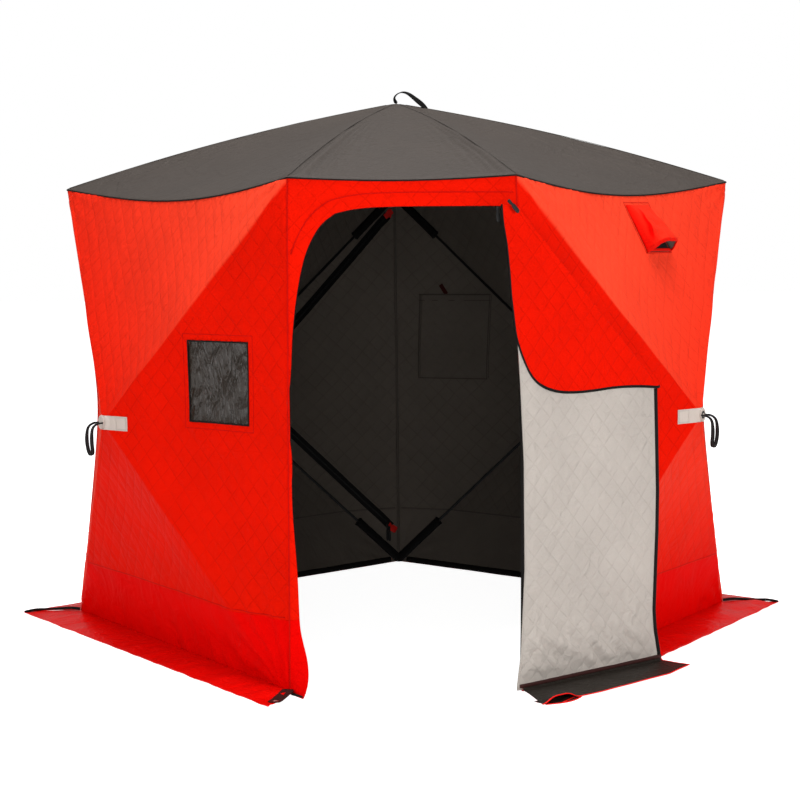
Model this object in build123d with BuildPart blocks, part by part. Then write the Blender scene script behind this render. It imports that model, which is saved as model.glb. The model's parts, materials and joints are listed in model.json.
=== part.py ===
"""Pop-up ice fishing hut: four hubbed fabric walls, a fabric roof and a zip-open door.

+Z is up, in millimetres, and the door faces -Y. The origin is on the ground at the
centre of the footprint, skirts included. Each wall is a shallow pyramid of gores that a
hub pushes outwards, so each gore is a flat sheet between the hub and a run of the seam.
"""

from build123d import *
from math import atan2, cos, degrees, pi, radians, sin, sqrt, tan
import os

# Overall sizes of the hut.
WALL_WIDTH = 1800.0
EAVE_HEIGHT = 1680.0
ROOF_RISE = 315.0
HUB_PUSH = 262.0
SEAM_PINCH = 110.0
EAVE_FLARE = 14.0
FRONT_BASE_WIDTH = 766.0
FRONT_EAVE_WIDTH = 732.0

# Fabric, measured straight through the wall's own direction.
WALL_FABRIC = 6.0
FRONT_FABRIC = 5.0
ROOF_FABRIC = 3.0
SKIRT_WIDTH = 185.0
SKIRT_FABRIC = 3.0
TOUCH_GAP = 0.3

# Doorway in the front wall.
OPENING_LEFT = -345.0
OPENING_RIGHT = 358.0
HEADER_DEPTH = 104.0
OPENING_RADIUS = 210.0

# Door, drawn as it swings about an upright axis at its hinge edge.
HINGE_X = 350.0
HINGE_FORWARD = 18.0
DOOR_REST_GAP = 1.8
DOOR_CLEARANCE = 6.0
DOOR_HINGE_GAP = 3.0
DOOR_FABRIC = 5.0
DOOR_FOLD_HEIGHT = 957.0
CORNER_LOW_INSET = 134.0
CORNER_HIGH_INSET = 56.0
CORNER_MIDDLE_INSET = 285.0
CORNER_HIGH = 1127.0
CORNER_MIDDLE = 1041.0
CORNER_LOW = 972.0
DOOR_SKIRT_LIFT = 9.0
DOOR_SKIRT_FABRIC = 2.0
DOOR_SKIRT_WIDTH = 195.0
DOOR_SKIRT_FLARE = 90.0
DOOR_SKIRT_TAPER = 40.0

# Frame: glass-fibre poles from the hubs to pockets at the corners.
POLE_RADIUS = 5.5
POLE_CLEARANCE = 0.4
POCKET_RADIUS = 15.0
POCKET_LENGTH = 235.0
POCKET_START = 66.0
ROOF_POCKET_START = 125.0
POLE_POCKET_OVERRUN = 6.0
HUB_RADIUS = 36.0
HUB_LENGTH = 20.0
SOCKET_RADIUS = 9.5
SOCKET_REACH = 72.0
SOCKET_DEPTH = 30.0

# Fittings on the fabric.
PATCH_LENGTH = 246.0
PATCH_HEIGHT = 50.0
PATCH_FABRIC = 2.0
WASHER_RADIUS = 24.0
WASHER_LENGTH = 5.0
LOOP_DIAMETER = 6.0
LOOP_SPREAD = 40.0
LOOP_REACH = 38.0
LOOP_DROP = 112.0
LOOP_BOW = 8.0
LOOP_WIDENING = 1.15
FILLET_SHARE = 0.45
LOOP_MAX_RADIUS = 240.0
WINDOW_WIDTH = 296.0
WINDOW_HEIGHT = 270.0
WINDOW_RISE = 29.0
WINDOW_FROM_SEAM = 194.0
PANE_FABRIC = 1.2
PANE_BORDER = 18.0
BACK_WINDOW_WIDTH = 300.0
BACK_WINDOW_HEIGHT = 340.0
BACK_WINDOW_RISE = 22.0
BACK_WINDOW_FROM_SEAM = 127.0
COVER_FABRIC = 3.0
VENT_WIDTH = 222.0
VENT_DROP = 98.0
VENT_HEIGHT = 162.0
VENT_REACH = 52.0
VENT_FABRIC = 3.0
VENT_ALONG = -19.0
VENT_MARGIN = 26.0
ZIP_WIDTH = 36.0
ZIP_FABRIC = 3.0
ZIP_VERTEX_FROM_SEAM = 748.0
ZIP_END_FROM_SEAM = 36.0
ZIP_DROP = 127.0
ZIP_FOOT = 165.0
STRAP_WIDTH = 20.0
STRAP_FABRIC = 2.5
STRAP_SPAN = 116.0
STRAP_RISE = 40.0
TAB_WIDTH = 38.0
TAB_LENGTH = 125.0
TAB_FABRIC = 2.0
TAB_FROM_CORNER = 18.0
TAB_TURN = 20.0
GROMMET_BORE = 6.0
GROMMET_RADIUS = 11.0

# Heights that follow from the ones above.
CENTRE_HEIGHT = EAVE_HEIGHT + ROOF_RISE
HUB_HEIGHT = EAVE_HEIGHT / 2
WALL_TOP = EAVE_HEIGHT - ROOF_FABRIC
OPENING_TOP = EAVE_HEIGHT - HEADER_DEPTH
VENT_HEAD = EAVE_HEIGHT - VENT_DROP

UP = Vector(0, 0, 1)
os.makedirs("parts", exist_ok=True)


def level(vector):
    """The horizontal unit vector along a vector."""
    return Vector(vector.X, vector.Y, 0).normalized()


def at_height(point, height):
    """The same plan point at another height."""
    return Vector(point.X, point.Y, height)


def between(start, end, height):
    """The point at a height on the line between two points."""
    return start + (end - start) * ((height - start.Z) / (end.Z - start.Z))


def mirrored(point):
    """A point reflected across the hut's left-right middle."""
    return Vector(-point.X, point.Y, point.Z)


# Plan. The back corner is square and the four hubbed walls are one width, which sets
# how far the door wall stands forward. The door rests along the right wall's front
# gore, and the Y shift centres the footprint.
side_reach = WALL_WIDTH / sqrt(2)
door_reach = sqrt(WALL_WIDTH**2 - (side_reach - FRONT_BASE_WIDTH / 2) ** 2)
gore_run_x = (side_reach + FRONT_BASE_WIDTH / 2 - (FRONT_BASE_WIDTH + FRONT_EAVE_WIDTH) / 2) / 2
gore_run_x += HUB_PUSH * door_reach / WALL_WIDTH
gore_run_y = door_reach / 2 - HUB_PUSH * (side_reach - FRONT_BASE_WIDTH / 2) / WALL_WIDTH
swing = atan2(gore_run_y, gore_run_x) - radians(DOOR_REST_GAP)
door_skirt_edge = HINGE_FORWARD + DOOR_SKIRT_WIDTH
door_skirt_reach = HINGE_FORWARD + door_skirt_edge * cos(swing) + DOOR_SKIRT_FLARE * sin(swing)
PLAN_Y = (door_reach + door_skirt_reach - side_reach - SKIRT_WIDTH * sqrt(2)) / 2

SIDE_LEFT = Vector(-side_reach, PLAN_Y, 0)
SIDE_RIGHT = mirrored(SIDE_LEFT)
BACK = Vector(0, PLAN_Y + side_reach, 0)
FRONT_LEFT = Vector(-FRONT_BASE_WIDTH / 2, PLAN_Y - door_reach, 0)
FRONT_RIGHT = mirrored(FRONT_LEFT)
FRONT_Y = FRONT_LEFT.Y
RING = [FRONT_LEFT, SIDE_LEFT, BACK, SIDE_RIGHT, FRONT_RIGHT]
APEX = Vector(0, PLAN_Y, CENTRE_HEIGHT)


def neighbours(corner):
    """The corners before and after a corner round the ring."""
    index = RING.index(corner)
    return RING[index - 1], RING[(index + 1) % len(RING)]


def inward(corner):
    """The level direction that halves the inside angle at a corner."""
    before, after = neighbours(corner)
    return ((before - corner).normalized() + (after - corner).normalized()).normalized()


def at_door(corner):
    """Whether a corner stands beside the door wall."""
    return corner in (FRONT_LEFT, FRONT_RIGHT)


def eave(corner, height):
    """The eave point above a corner: flared out, or drawn in beside the door."""
    if at_door(corner):
        return Vector(corner.X * FRONT_EAVE_WIDTH / FRONT_BASE_WIDTH, corner.Y, height)
    return at_height(corner - inward(corner) * EAVE_FLARE, height)


def seam(corner):
    """The outer seam above a corner, from the ground to the wall's top."""
    if at_door(corner):
        return [corner, eave(corner, WALL_TOP)]
    waist = at_height(corner + inward(corner) * SEAM_PINCH, HUB_HEIGHT)
    return [corner, waist, eave(corner, WALL_TOP)]


def facing(point, normal, inside):
    """The plane through a point, turned so that its front holds the point inside."""
    if (inside - point).dot(normal) < 0:
        normal = normal * -1
    return Plane(origin=point, z_dir=normal)


def mitre(corner, inside):
    """The plane through a seam that halves its corner, facing the point inside."""
    rise = eave(corner, WALL_TOP) - corner
    return facing(corner, rise.cross(inward(corner)), inside)


class Wall:
    """A hubbed wall between two corners."""

    def __init__(self, first, second):
        self.first, self.second = first, second
        self.along = (second - first).normalized()
        self.out = self.along.cross(UP)
        middle = (first + second) * 0.5
        if self.out.dot(middle - at_height(APEX, 0)) < 0:
            self.out = self.out * -1
        self.hub = at_height(middle, HUB_HEIGHT) + self.out * HUB_PUSH

    def facets(self):
        """The outer triangles of the wall, each as its hub and two seam points."""
        heads = [eave(self.first, WALL_TOP), eave(self.second, WALL_TOP)]
        runs = [(self.first, self.second), tuple(heads)]
        for corner in (self.first, self.second):
            points = seam(corner)
            runs += list(zip(points, points[1:]))
        return [(self.hub, a, b) for a, b in runs]

    def plane(self, a, b):
        """The outer plane through the hub and two seam points."""
        normal = (a - self.hub).cross(b - self.hub).normalized()
        if normal.dot(self.out) < 0:
            normal = normal * -1
        return Plane(origin=self.hub, x_dir=UP.cross(normal), z_dir=normal)

    def standoff(self, clearance):
        """How far behind the outer face a line clears every sheet's inner face."""
        leaning = min(self.plane(a, b).z_dir.dot(self.out) for _, a, b in self.facets())
        return WALL_FABRIC + clearance / leaning


LEFT = Wall(SIDE_LEFT, FRONT_LEFT)
RIGHT = Wall(SIDE_RIGHT, FRONT_RIGHT)
BACK_LEFT = Wall(BACK, SIDE_LEFT)
BACK_RIGHT = Wall(BACK, SIDE_RIGHT)
WALLS = [LEFT, RIGHT, BACK_LEFT, BACK_RIGHT]


def sheet(points, push, start=0.0):
    """Adds a flat sheet with these outer corners, pushed through by a vector. It can
    start a distance along that vector."""
    direction = push.normalized()
    corners = [p + direction * start for p in points]
    normal = (corners[1] - corners[0]).cross(corners[2] - corners[0]).normalized()
    plane = Plane(origin=corners[0], x_dir=corners[1] - corners[0], z_dir=normal)
    local = [plane.to_local_coords(p) for p in corners]
    with BuildSketch(plane) as face:
        with BuildLine():
            Polyline(*[(p.X, p.Y) for p in local], close=True)
        make_face()
    extrude(face.sketch, amount=push.length, dir=direction)


def gore(wall, *runs):
    """Adds the sheets of a wall's gore from the hub to each run of seam points, and
    trims them on the mitres of the wall's corners."""
    for a, b in runs:
        sheet([wall.hub, a, b], wall.out * -WALL_FABRIC)
    for corner in (wall.first, wall.second):
        split(bisect_by=mitre(corner, wall.hub), keep=Keep.TOP)


def side_runs(corner):
    """The runs of the seam above a corner, from the ground up."""
    points = seam(corner)
    return list(zip(points, points[1:]))


def save(piece, name):
    """Labels a piece and writes its STEP file."""
    piece.part.label = name
    export_step(piece.part, f"parts/{name}.step")


# Windows. A window lies in the plane of one facet, set out from the seam.
class Window:
    """A rectangle in a facet, with its lower edge level and a little above the hub."""

    def __init__(self, wall, run, rise_from_hub, from_seam, width, height):
        plane = wall.plane(*run)
        across = plane.x_dir
        foot = between(run[0], run[1], HUB_HEIGHT + rise_from_hub)
        if across.dot(wall.hub - foot) < 0:
            across = across * -1
        rise = plane.z_dir.cross(across)
        rise = rise if rise.Z > 0 else rise * -1
        self.wall, self.across, self.rise = wall, across, rise
        self.start = foot + across * from_seam
        self.width, self.height = width, height

    def corners(self, border=0.0):
        """Its corners, grown by a border."""
        low = self.start - (self.across + self.rise) * border
        wide = self.across * (self.width + 2 * border)
        tall = self.rise * (self.height + 2 * border)
        return [low, low + wide, low + wide + tall, low + tall]

    def hole(self):
        """Cuts the window through the fabric of the sheet being built."""
        plane = Plane(origin=self.start, x_dir=self.across, z_dir=self.across.cross(self.rise))
        with BuildSketch(plane) as face:
            with Locations((self.width / 2, self.height / 2)):
                Rectangle(self.width, self.height)
        extrude(face.sketch, amount=3 * WALL_FABRIC, both=True, mode=Mode.SUBTRACT)


left_opening = Window(
    LEFT, side_runs(FRONT_LEFT)[0], WINDOW_RISE, WINDOW_FROM_SEAM, WINDOW_WIDTH, WINDOW_HEIGHT
)
back_opening = Window(
    BACK_RIGHT, side_runs(BACK)[1], BACK_WINDOW_RISE, BACK_WINDOW_FROM_SEAM,
    BACK_WINDOW_WIDTH, BACK_WINDOW_HEIGHT,
)

# The vent lies in the right wall's top gore, below its eave.
right_top = RIGHT.plane(eave(RIGHT.first, WALL_TOP), eave(RIGHT.second, WALL_TOP))
vent_along = (eave(RIGHT.second, WALL_TOP) - eave(RIGHT.first, WALL_TOP)).normalized()
vent_slope = right_top.z_dir.cross(vent_along)
vent_slope = vent_slope if vent_slope.Z < 0 else vent_slope * -1
vent_head = eave(RIGHT.first, WALL_TOP) * 0.5 + eave(RIGHT.second, WALL_TOP) * 0.5
vent_head = vent_head + vent_along * VENT_ALONG + vent_slope * ((WALL_TOP - VENT_HEAD) / -vent_slope.Z)
vent_length = VENT_HEIGHT / -vent_slope.Z
vent_plane = Plane(origin=vent_head, x_dir=vent_along, z_dir=right_top.z_dir)


# Walls, one block per gore.
with BuildPart() as left_top_gore:
    gore(LEFT, (eave(SIDE_LEFT, WALL_TOP), eave(FRONT_LEFT, WALL_TOP)))
save(left_top_gore, "left_top_gore")

with BuildPart() as left_rear_gore:
    gore(LEFT, *side_runs(SIDE_LEFT))
save(left_rear_gore, "left_rear_gore")

with BuildPart() as left_front_gore:
    gore(LEFT, *side_runs(FRONT_LEFT))
    left_opening.hole()
save(left_front_gore, "left_front_gore")

with BuildPart() as left_bottom_gore:
    gore(LEFT, (SIDE_LEFT, FRONT_LEFT))
save(left_bottom_gore, "left_bottom_gore")

with BuildPart() as right_top_gore:
    gore(RIGHT, (eave(SIDE_RIGHT, WALL_TOP), eave(FRONT_RIGHT, WALL_TOP)))
    with BuildSketch(vent_plane):
        with Locations((0, vent_plane.y_dir.dot(vent_slope) * vent_length / 2)):
            Rectangle(VENT_WIDTH - 2 * VENT_MARGIN, vent_length - 2 * VENT_MARGIN)
    extrude(amount=3 * WALL_FABRIC, both=True, mode=Mode.SUBTRACT)
save(right_top_gore, "right_top_gore")

with BuildPart() as right_rear_gore:
    gore(RIGHT, *side_runs(SIDE_RIGHT))
save(right_rear_gore, "right_rear_gore")

with BuildPart() as right_front_gore:
    gore(RIGHT, *side_runs(FRONT_RIGHT))
save(right_front_gore, "right_front_gore")

with BuildPart() as right_bottom_gore:
    gore(RIGHT, (SIDE_RIGHT, FRONT_RIGHT))
save(right_bottom_gore, "right_bottom_gore")

with BuildPart() as back_left_top_gore:
    gore(BACK_LEFT, (eave(BACK, WALL_TOP), eave(SIDE_LEFT, WALL_TOP)))
save(back_left_top_gore, "back_left_top_gore")

with BuildPart() as back_left_inner_gore:
    gore(BACK_LEFT, *side_runs(BACK))
save(back_left_inner_gore, "back_left_inner_gore")

with BuildPart() as back_left_outer_gore:
    gore(BACK_LEFT, *side_runs(SIDE_LEFT))
save(back_left_outer_gore, "back_left_outer_gore")

with BuildPart() as back_left_bottom_gore:
    gore(BACK_LEFT, (BACK, SIDE_LEFT))
save(back_left_bottom_gore, "back_left_bottom_gore")

with BuildPart() as back_right_top_gore:
    gore(BACK_RIGHT, (eave(BACK, WALL_TOP), eave(SIDE_RIGHT, WALL_TOP)))
save(back_right_top_gore, "back_right_top_gore")

with BuildPart() as back_right_inner_gore:
    gore(BACK_RIGHT, *side_runs(BACK))
    back_opening.hole()
save(back_right_inner_gore, "back_right_inner_gore")

with BuildPart() as back_right_outer_gore:
    gore(BACK_RIGHT, *side_runs(SIDE_RIGHT))
save(back_right_outer_gore, "back_right_outer_gore")

with BuildPart() as back_right_bottom_gore:
    gore(BACK_RIGHT, (BACK, SIDE_RIGHT))
save(back_right_bottom_gore, "back_right_bottom_gore")


# Front wall: a header over the doorway, a jamb each side of it and its round corner.
front_plane = Plane(origin=(0, FRONT_Y, 0), x_dir=(1, 0, 0), z_dir=(0, -1, 0))
corner_foot = OPENING_TOP - OPENING_RADIUS
arc_middle = OPENING_RADIUS * (1 - sqrt(0.5))


def front_edge(side, height):
    """Half the front wall's width at a height, signed by side."""
    narrowing = (FRONT_BASE_WIDTH - FRONT_EAVE_WIDTH) / 2 / WALL_TOP
    return side * (FRONT_BASE_WIDTH / 2 - narrowing * height)


def front_sheet(*points):
    """Adds a piece of the front wall with this outline, trimmed on both mitres."""
    with BuildSketch(front_plane) as face:
        with BuildLine():
            Polyline(*points, close=True)
        make_face()
    extrude(face.sketch, amount=-FRONT_FABRIC)
    for corner in (FRONT_LEFT, FRONT_RIGHT):
        split(bisect_by=mitre(corner, front_plane.origin), keep=Keep.TOP)


with BuildPart() as front_header:
    front_sheet(
        (front_edge(-1, OPENING_TOP), OPENING_TOP), (front_edge(1, OPENING_TOP), OPENING_TOP),
        (front_edge(1, WALL_TOP), WALL_TOP), (front_edge(-1, WALL_TOP), WALL_TOP),
    )
save(front_header, "front_header")

with BuildPart() as front_left_jamb:
    front_sheet(
        (front_edge(-1, 0), 0), (OPENING_LEFT, 0),
        (OPENING_LEFT, corner_foot), (front_edge(-1, corner_foot), corner_foot),
    )
save(front_left_jamb, "front_left_jamb")

with BuildPart() as front_right_jamb:
    front_sheet(
        (OPENING_RIGHT, 0), (front_edge(1, 0), 0),
        (front_edge(1, OPENING_TOP), OPENING_TOP), (OPENING_RIGHT, OPENING_TOP),
    )
save(front_right_jamb, "front_right_jamb")

with BuildPart() as front_opening_corner:
    with BuildSketch(front_plane):
        with BuildLine():
            ThreePointArc(
                (OPENING_LEFT, corner_foot),
                (OPENING_LEFT + arc_middle, OPENING_TOP - arc_middle),
                (OPENING_LEFT + OPENING_RADIUS, OPENING_TOP),
            )
            Polyline(
                (OPENING_LEFT + OPENING_RADIUS, OPENING_TOP),
                (front_edge(-1, OPENING_TOP), OPENING_TOP),
                (front_edge(-1, corner_foot), corner_foot),
                (OPENING_LEFT, corner_foot),
            )
        make_face()
    extrude(amount=-FRONT_FABRIC)
    split(bisect_by=mitre(FRONT_LEFT, front_plane.origin), keep=Keep.TOP)
save(front_opening_corner, "front_opening_corner")


# Roof: five sheets from the apex down to the eaves.
def roof_sheet(first, second):
    """Adds the roof sheet between two eave corners."""
    sheet([APEX, eave(first, EAVE_HEIGHT), eave(second, EAVE_HEIGHT)], UP * -ROOF_FABRIC)


with BuildPart() as roof_left_gore:
    roof_sheet(SIDE_LEFT, FRONT_LEFT)
save(roof_left_gore, "roof_left_gore")

with BuildPart() as roof_right_gore:
    roof_sheet(SIDE_RIGHT, FRONT_RIGHT)
save(roof_right_gore, "roof_right_gore")

with BuildPart() as roof_front_gore:
    roof_sheet(FRONT_LEFT, FRONT_RIGHT)
save(roof_front_gore, "roof_front_gore")

with BuildPart() as roof_back_left_gore:
    roof_sheet(BACK, SIDE_LEFT)
save(roof_back_left_gore, "roof_back_left_gore")

with BuildPart() as roof_back_right_gore:
    roof_sheet(BACK, SIDE_RIGHT)
save(roof_back_right_gore, "roof_back_right_gore")


# Snow skirts, flat on the ground outside each hubbed wall and mitred at the corners.
def skirt(wall):
    """Adds a wall's skirt, from just clear of the leaning gore to its outer edge."""
    edges = []
    for corner in (wall.first, wall.second):
        slant = wall.along * (wall.along.dot(inward(corner)) / wall.out.dot(inward(corner)))
        edges.append((corner, wall.out + slant))
    start = SKIRT_FABRIC * HUB_PUSH / HUB_HEIGHT
    inner = [corner + across * start for corner, across in edges]
    outer = [corner + across * SKIRT_WIDTH for corner, across in edges]
    sheet(inner + outer[::-1], UP * SKIRT_FABRIC)


with BuildPart() as left_skirt:
    skirt(LEFT)
save(left_skirt, "left_skirt")

with BuildPart() as right_skirt:
    skirt(RIGHT)
save(right_skirt, "right_skirt")

with BuildPart() as back_left_skirt:
    skirt(BACK_LEFT)
save(back_left_skirt, "back_left_skirt")

with BuildPart() as back_right_skirt:
    skirt(BACK_RIGHT)
save(back_right_skirt, "back_right_skirt")


# Door, folded back against the right wall. Its plane runs out from the hinge; the
# lining faces the plane's normal, and the upper corner is turned down over it.
door_across = Vector(cos(swing), sin(swing), 0)
door_normal = door_across.cross(UP)
HINGE = Vector(HINGE_X, FRONT_Y - HINGE_FORWARD, 0)
door_face = Plane(origin=HINGE + door_normal * HINGE_FORWARD, x_dir=door_across, z_dir=door_normal)
door_width = HINGE_X - OPENING_LEFT - DOOR_CLEARANCE
door_foot = DOOR_SKIRT_LIFT + DOOR_SKIRT_FABRIC
door_head = OPENING_TOP - DOOR_CLEARANCE
turned_face = Plane(
    origin=door_face.origin + door_face.z_dir * DOOR_FABRIC,
    x_dir=door_face.x_dir, z_dir=door_face.z_dir,
)

with BuildPart() as door_panel:
    with BuildSketch(door_face):
        with BuildLine():
            Polyline(
                (DOOR_HINGE_GAP, door_foot), (door_width, door_foot),
                (door_width, DOOR_FOLD_HEIGHT), (DOOR_HINGE_GAP, door_head), close=True,
            )
        make_face()
    extrude(amount=DOOR_FABRIC)
save(door_panel, "door_panel")

with BuildPart() as door_turned_corner:
    with BuildSketch(turned_face):
        with BuildLine():
            Polyline(
                (DOOR_HINGE_GAP, door_head), (CORNER_HIGH_INSET, CORNER_HIGH),
                (CORNER_LOW_INSET, CORNER_MIDDLE), (CORNER_MIDDLE_INSET, CORNER_LOW),
                (door_width, DOOR_FOLD_HEIGHT), close=True,
            )
        make_face()
    extrude(amount=DOOR_FABRIC)
save(door_turned_corner, "door_turned_corner")

door_floor = Plane(origin=door_face.origin + UP * DOOR_SKIRT_LIFT, x_dir=door_across, z_dir=(0, 0, 1))
with BuildPart() as door_skirt:
    with BuildSketch(door_floor):
        with BuildLine():
            Polyline(
                (DOOR_HINGE_GAP, 0), (door_width, 0), (door_width - DOOR_SKIRT_TAPER, -DOOR_SKIRT_WIDTH),
                (-DOOR_SKIRT_FLARE, -DOOR_SKIRT_WIDTH), close=True,
            )
        make_face()
    extrude(amount=DOOR_SKIRT_FABRIC)
save(door_skirt, "door_skirt")


# Frame. Each pole runs from a hub's socket to a pocket, along the ridge of the fabric.
class Run:
    """A straight run from a hub's centre towards a corner of the fabric."""

    def __init__(self, centre, corner, pocket_start):
        self.direction = (centre - corner).normalized()
        self.corner = corner
        self.pocket_start = pocket_start
        self.length = (centre - corner).length

    def at(self, distance):
        """The plane across the run at a distance from its corner, facing the hub."""
        return Plane(origin=self.corner + self.direction * distance, z_dir=self.direction)

    def pole(self):
        """Adds the pole of this run."""
        start = self.pocket_start + POLE_POCKET_OVERRUN
        with BuildSketch(self.at(start)) as face:
            Circle(POLE_RADIUS)
        extrude(face.sketch, amount=self.length - SOCKET_DEPTH - POLE_CLEARANCE - start)

    def pocket(self):
        """Adds the pocket round the corner end of this run's pole."""
        with BuildSketch(self.at(self.pocket_start)) as face:
            Circle(POCKET_RADIUS)
            Circle(POLE_RADIUS + POLE_CLEARANCE, mode=Mode.SUBTRACT)
        extrude(face.sketch, amount=POCKET_LENGTH)

    def socket(self):
        """Adds the hub's socket for this run."""
        with BuildSketch(self.at(self.length - SOCKET_REACH)) as face:
            Circle(SOCKET_RADIUS)
        extrude(face.sketch, amount=SOCKET_REACH)

    def bore(self):
        """Cuts the socket's bore."""
        with BuildSketch(self.at(self.length - SOCKET_REACH)) as face:
            Circle(POLE_RADIUS + POLE_CLEARANCE)
        extrude(face.sketch, amount=SOCKET_REACH - SOCKET_DEPTH, mode=Mode.SUBTRACT)


def wall_runs(wall):
    """The four runs of a wall's frame."""
    shift = wall.out * -wall.standoff(POCKET_RADIUS + TOUCH_GAP)
    ends = [wall.first, wall.second, eave(wall.first, WALL_TOP), eave(wall.second, WALL_TOP)]
    return [Run(wall.hub + shift, end + shift, POCKET_START) for end in ends]


roof_planes = [
    (eave(a, EAVE_HEIGHT) - APEX).cross(eave(b, EAVE_HEIGHT) - APEX).normalized()
    for a, b in zip(RING, RING[1:] + RING[:1])
]
roof_lean = min(abs(normal.Z) for normal in roof_planes)
roof_shift = UP * -(ROOF_FABRIC + (POCKET_RADIUS + TOUCH_GAP) / roof_lean)
ROOF_RUNS = [
    Run(APEX + roof_shift, eave(corner, EAVE_HEIGHT) + roof_shift, ROOF_POCKET_START) for corner in RING
]
WALL_RUNS = [run for wall in WALLS for run in wall_runs(wall)]

with BuildPart() as wall_poles:
    for run in WALL_RUNS:
        run.pole()
save(wall_poles, "wall_poles")

with BuildPart() as roof_poles:
    for run in ROOF_RUNS:
        run.pole()
save(roof_poles, "roof_poles")

with BuildPart() as pole_pockets:
    for run in WALL_RUNS + ROOF_RUNS:
        run.pocket()
save(pole_pockets, "pole_pockets")


def hub(plane, runs):
    """Adds a hub: a round boss on a plane that faces outwards, with its sockets."""
    with BuildSketch(plane) as face:
        Circle(HUB_RADIUS)
    extrude(face.sketch, amount=-HUB_LENGTH)
    for run in runs:
        run.socket()
    for run in runs:
        run.bore()


def boss_depth(radius, slope, fabric):
    """How far below an apex a flat disc first meets sheets that fall away by slope."""
    return fabric + radius * slope + TOUCH_GAP


wall_slope = max(tan(plane_angle) for plane_angle in [
    radians(wall.out.get_angle(wall.plane(a, b).z_dir)) for wall in WALLS for _, a, b in wall.facets()
])
roof_slope = max(sqrt(1 / normal.Z**2 - 1) for normal in roof_planes)

with BuildPart() as wall_hubs:
    for wall in WALLS:
        seat = wall.hub - wall.out * boss_depth(HUB_RADIUS, wall_slope, WALL_FABRIC)
        hub(Plane(origin=seat, z_dir=wall.out), wall_runs(wall))
save(wall_hubs, "wall_hubs")

with BuildPart() as roof_hub:
    hub(Plane(origin=APEX - UP * boss_depth(HUB_RADIUS, roof_slope, ROOF_FABRIC)), ROOF_RUNS)
save(roof_hub, "roof_hub")


# Patches over the hubs, folded to the wall, with the washer that holds the pull loop.
with BuildPart() as hub_patches:
    for wall in WALLS:
        with BuildPart(mode=Mode.PRIVATE) as patch:
            for facet in wall.facets():
                sheet(list(facet), wall.out * PATCH_FABRIC)
            for turn, reach in ((wall.along, PATCH_LENGTH), (UP, PATCH_HEIGHT)):
                for side in (turn, turn * -1):
                    split(bisect_by=facing(wall.hub + side * (reach / 2), side, wall.hub), keep=Keep.TOP)
        add(patch.part)
save(hub_patches, "hub_patches")


def washer_face(wall):
    """The outer face of a wall's washer."""
    return Plane(
        origin=wall.hub + wall.out * (PATCH_FABRIC + WASHER_LENGTH), x_dir=wall.along, z_dir=wall.out
    )


with BuildPart() as hub_washers:
    for wall in WALLS:
        with BuildSketch(washer_face(wall)):
            Circle(WASHER_RADIUS)
        extrude(amount=-WASHER_LENGTH)
save(hub_washers, "hub_washers")


# Pull loops: limp cord, out of the washer, over and down, and back.
def pull_loop(wall):
    """Adds a wall's pull loop and prints its bends."""
    start = washer_face(wall)
    side, out, down = wall.along * (LOOP_SPREAD / 2), wall.out, UP * -1
    origin = start.origin + out * TOUCH_GAP
    half = [
        origin + side,
        origin + side + out * LOOP_REACH,
        origin + side * LOOP_WIDENING + out * (LOOP_REACH + LOOP_BOW) + down * (LOOP_DROP / 2),
        origin + side + out * LOOP_REACH + down * LOOP_DROP,
    ]
    other = [point - wall.along * (2 * wall.along.dot(point - wall.hub)) for point in half]
    points = half + other[::-1]
    radii = []
    for before, here, after in zip(points, points[1:], points[2:]):
        turn = radians((here - before).get_angle(after - here))
        shorter = min((here - before).length, (after - here).length)
        radii.append(min(FILLET_SHARE * shorter / tan(turn / 2), LOOP_MAX_RADIUS))
    print("pull loop radii in diameters", [round(r / LOOP_DIAMETER, 2) for r in radii])
    with BuildLine() as route:
        FilletPolyline(*points, radius=radii)
    path = route.line
    with BuildSketch(Plane(origin=path @ 0, z_dir=path % 0)) as section:
        Circle(LOOP_DIAMETER / 2)
    sweep(section.sketch, path=path)
    area = pi * LOOP_DIAMETER**2 / 4
    return sum(edge.length for edge in path.edges()) * area


with BuildPart() as left_pull_loop:
    left_volume = pull_loop(LEFT)
save(left_pull_loop, "left_pull_loop")

with BuildPart() as right_pull_loop:
    right_volume = pull_loop(RIGHT)
save(right_pull_loop, "right_pull_loop")

with BuildPart() as back_left_pull_loop:
    back_left_volume = pull_loop(BACK_LEFT)
save(back_left_pull_loop, "back_left_pull_loop")

with BuildPart() as back_right_pull_loop:
    back_right_volume = pull_loop(BACK_RIGHT)
save(back_right_pull_loop, "back_right_pull_loop")

for loop, volume in (
    (left_pull_loop, left_volume), (right_pull_loop, right_volume),
    (back_left_pull_loop, back_left_volume), (back_right_pull_loop, back_right_volume),
):
    print("pull loop volume over section times length", round(loop.part.volume / volume, 4))


# Windows: a clear pane behind each hole, and a cover inside the back one.
with BuildPart() as left_window:
    sheet(left_opening.corners(PANE_BORDER), LEFT.out * -PANE_FABRIC, WALL_FABRIC)
save(left_window, "left_window")

with BuildPart() as back_right_window:
    sheet(back_opening.corners(PANE_BORDER), BACK_RIGHT.out * -PANE_FABRIC, WALL_FABRIC)
save(back_right_window, "back_right_window")

with BuildPart() as back_right_window_cover:
    sheet(
        back_opening.corners(PANE_BORDER), BACK_RIGHT.out * -COVER_FABRIC, WALL_FABRIC + PANE_FABRIC
    )
save(back_right_window_cover, "back_right_window_cover")


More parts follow.
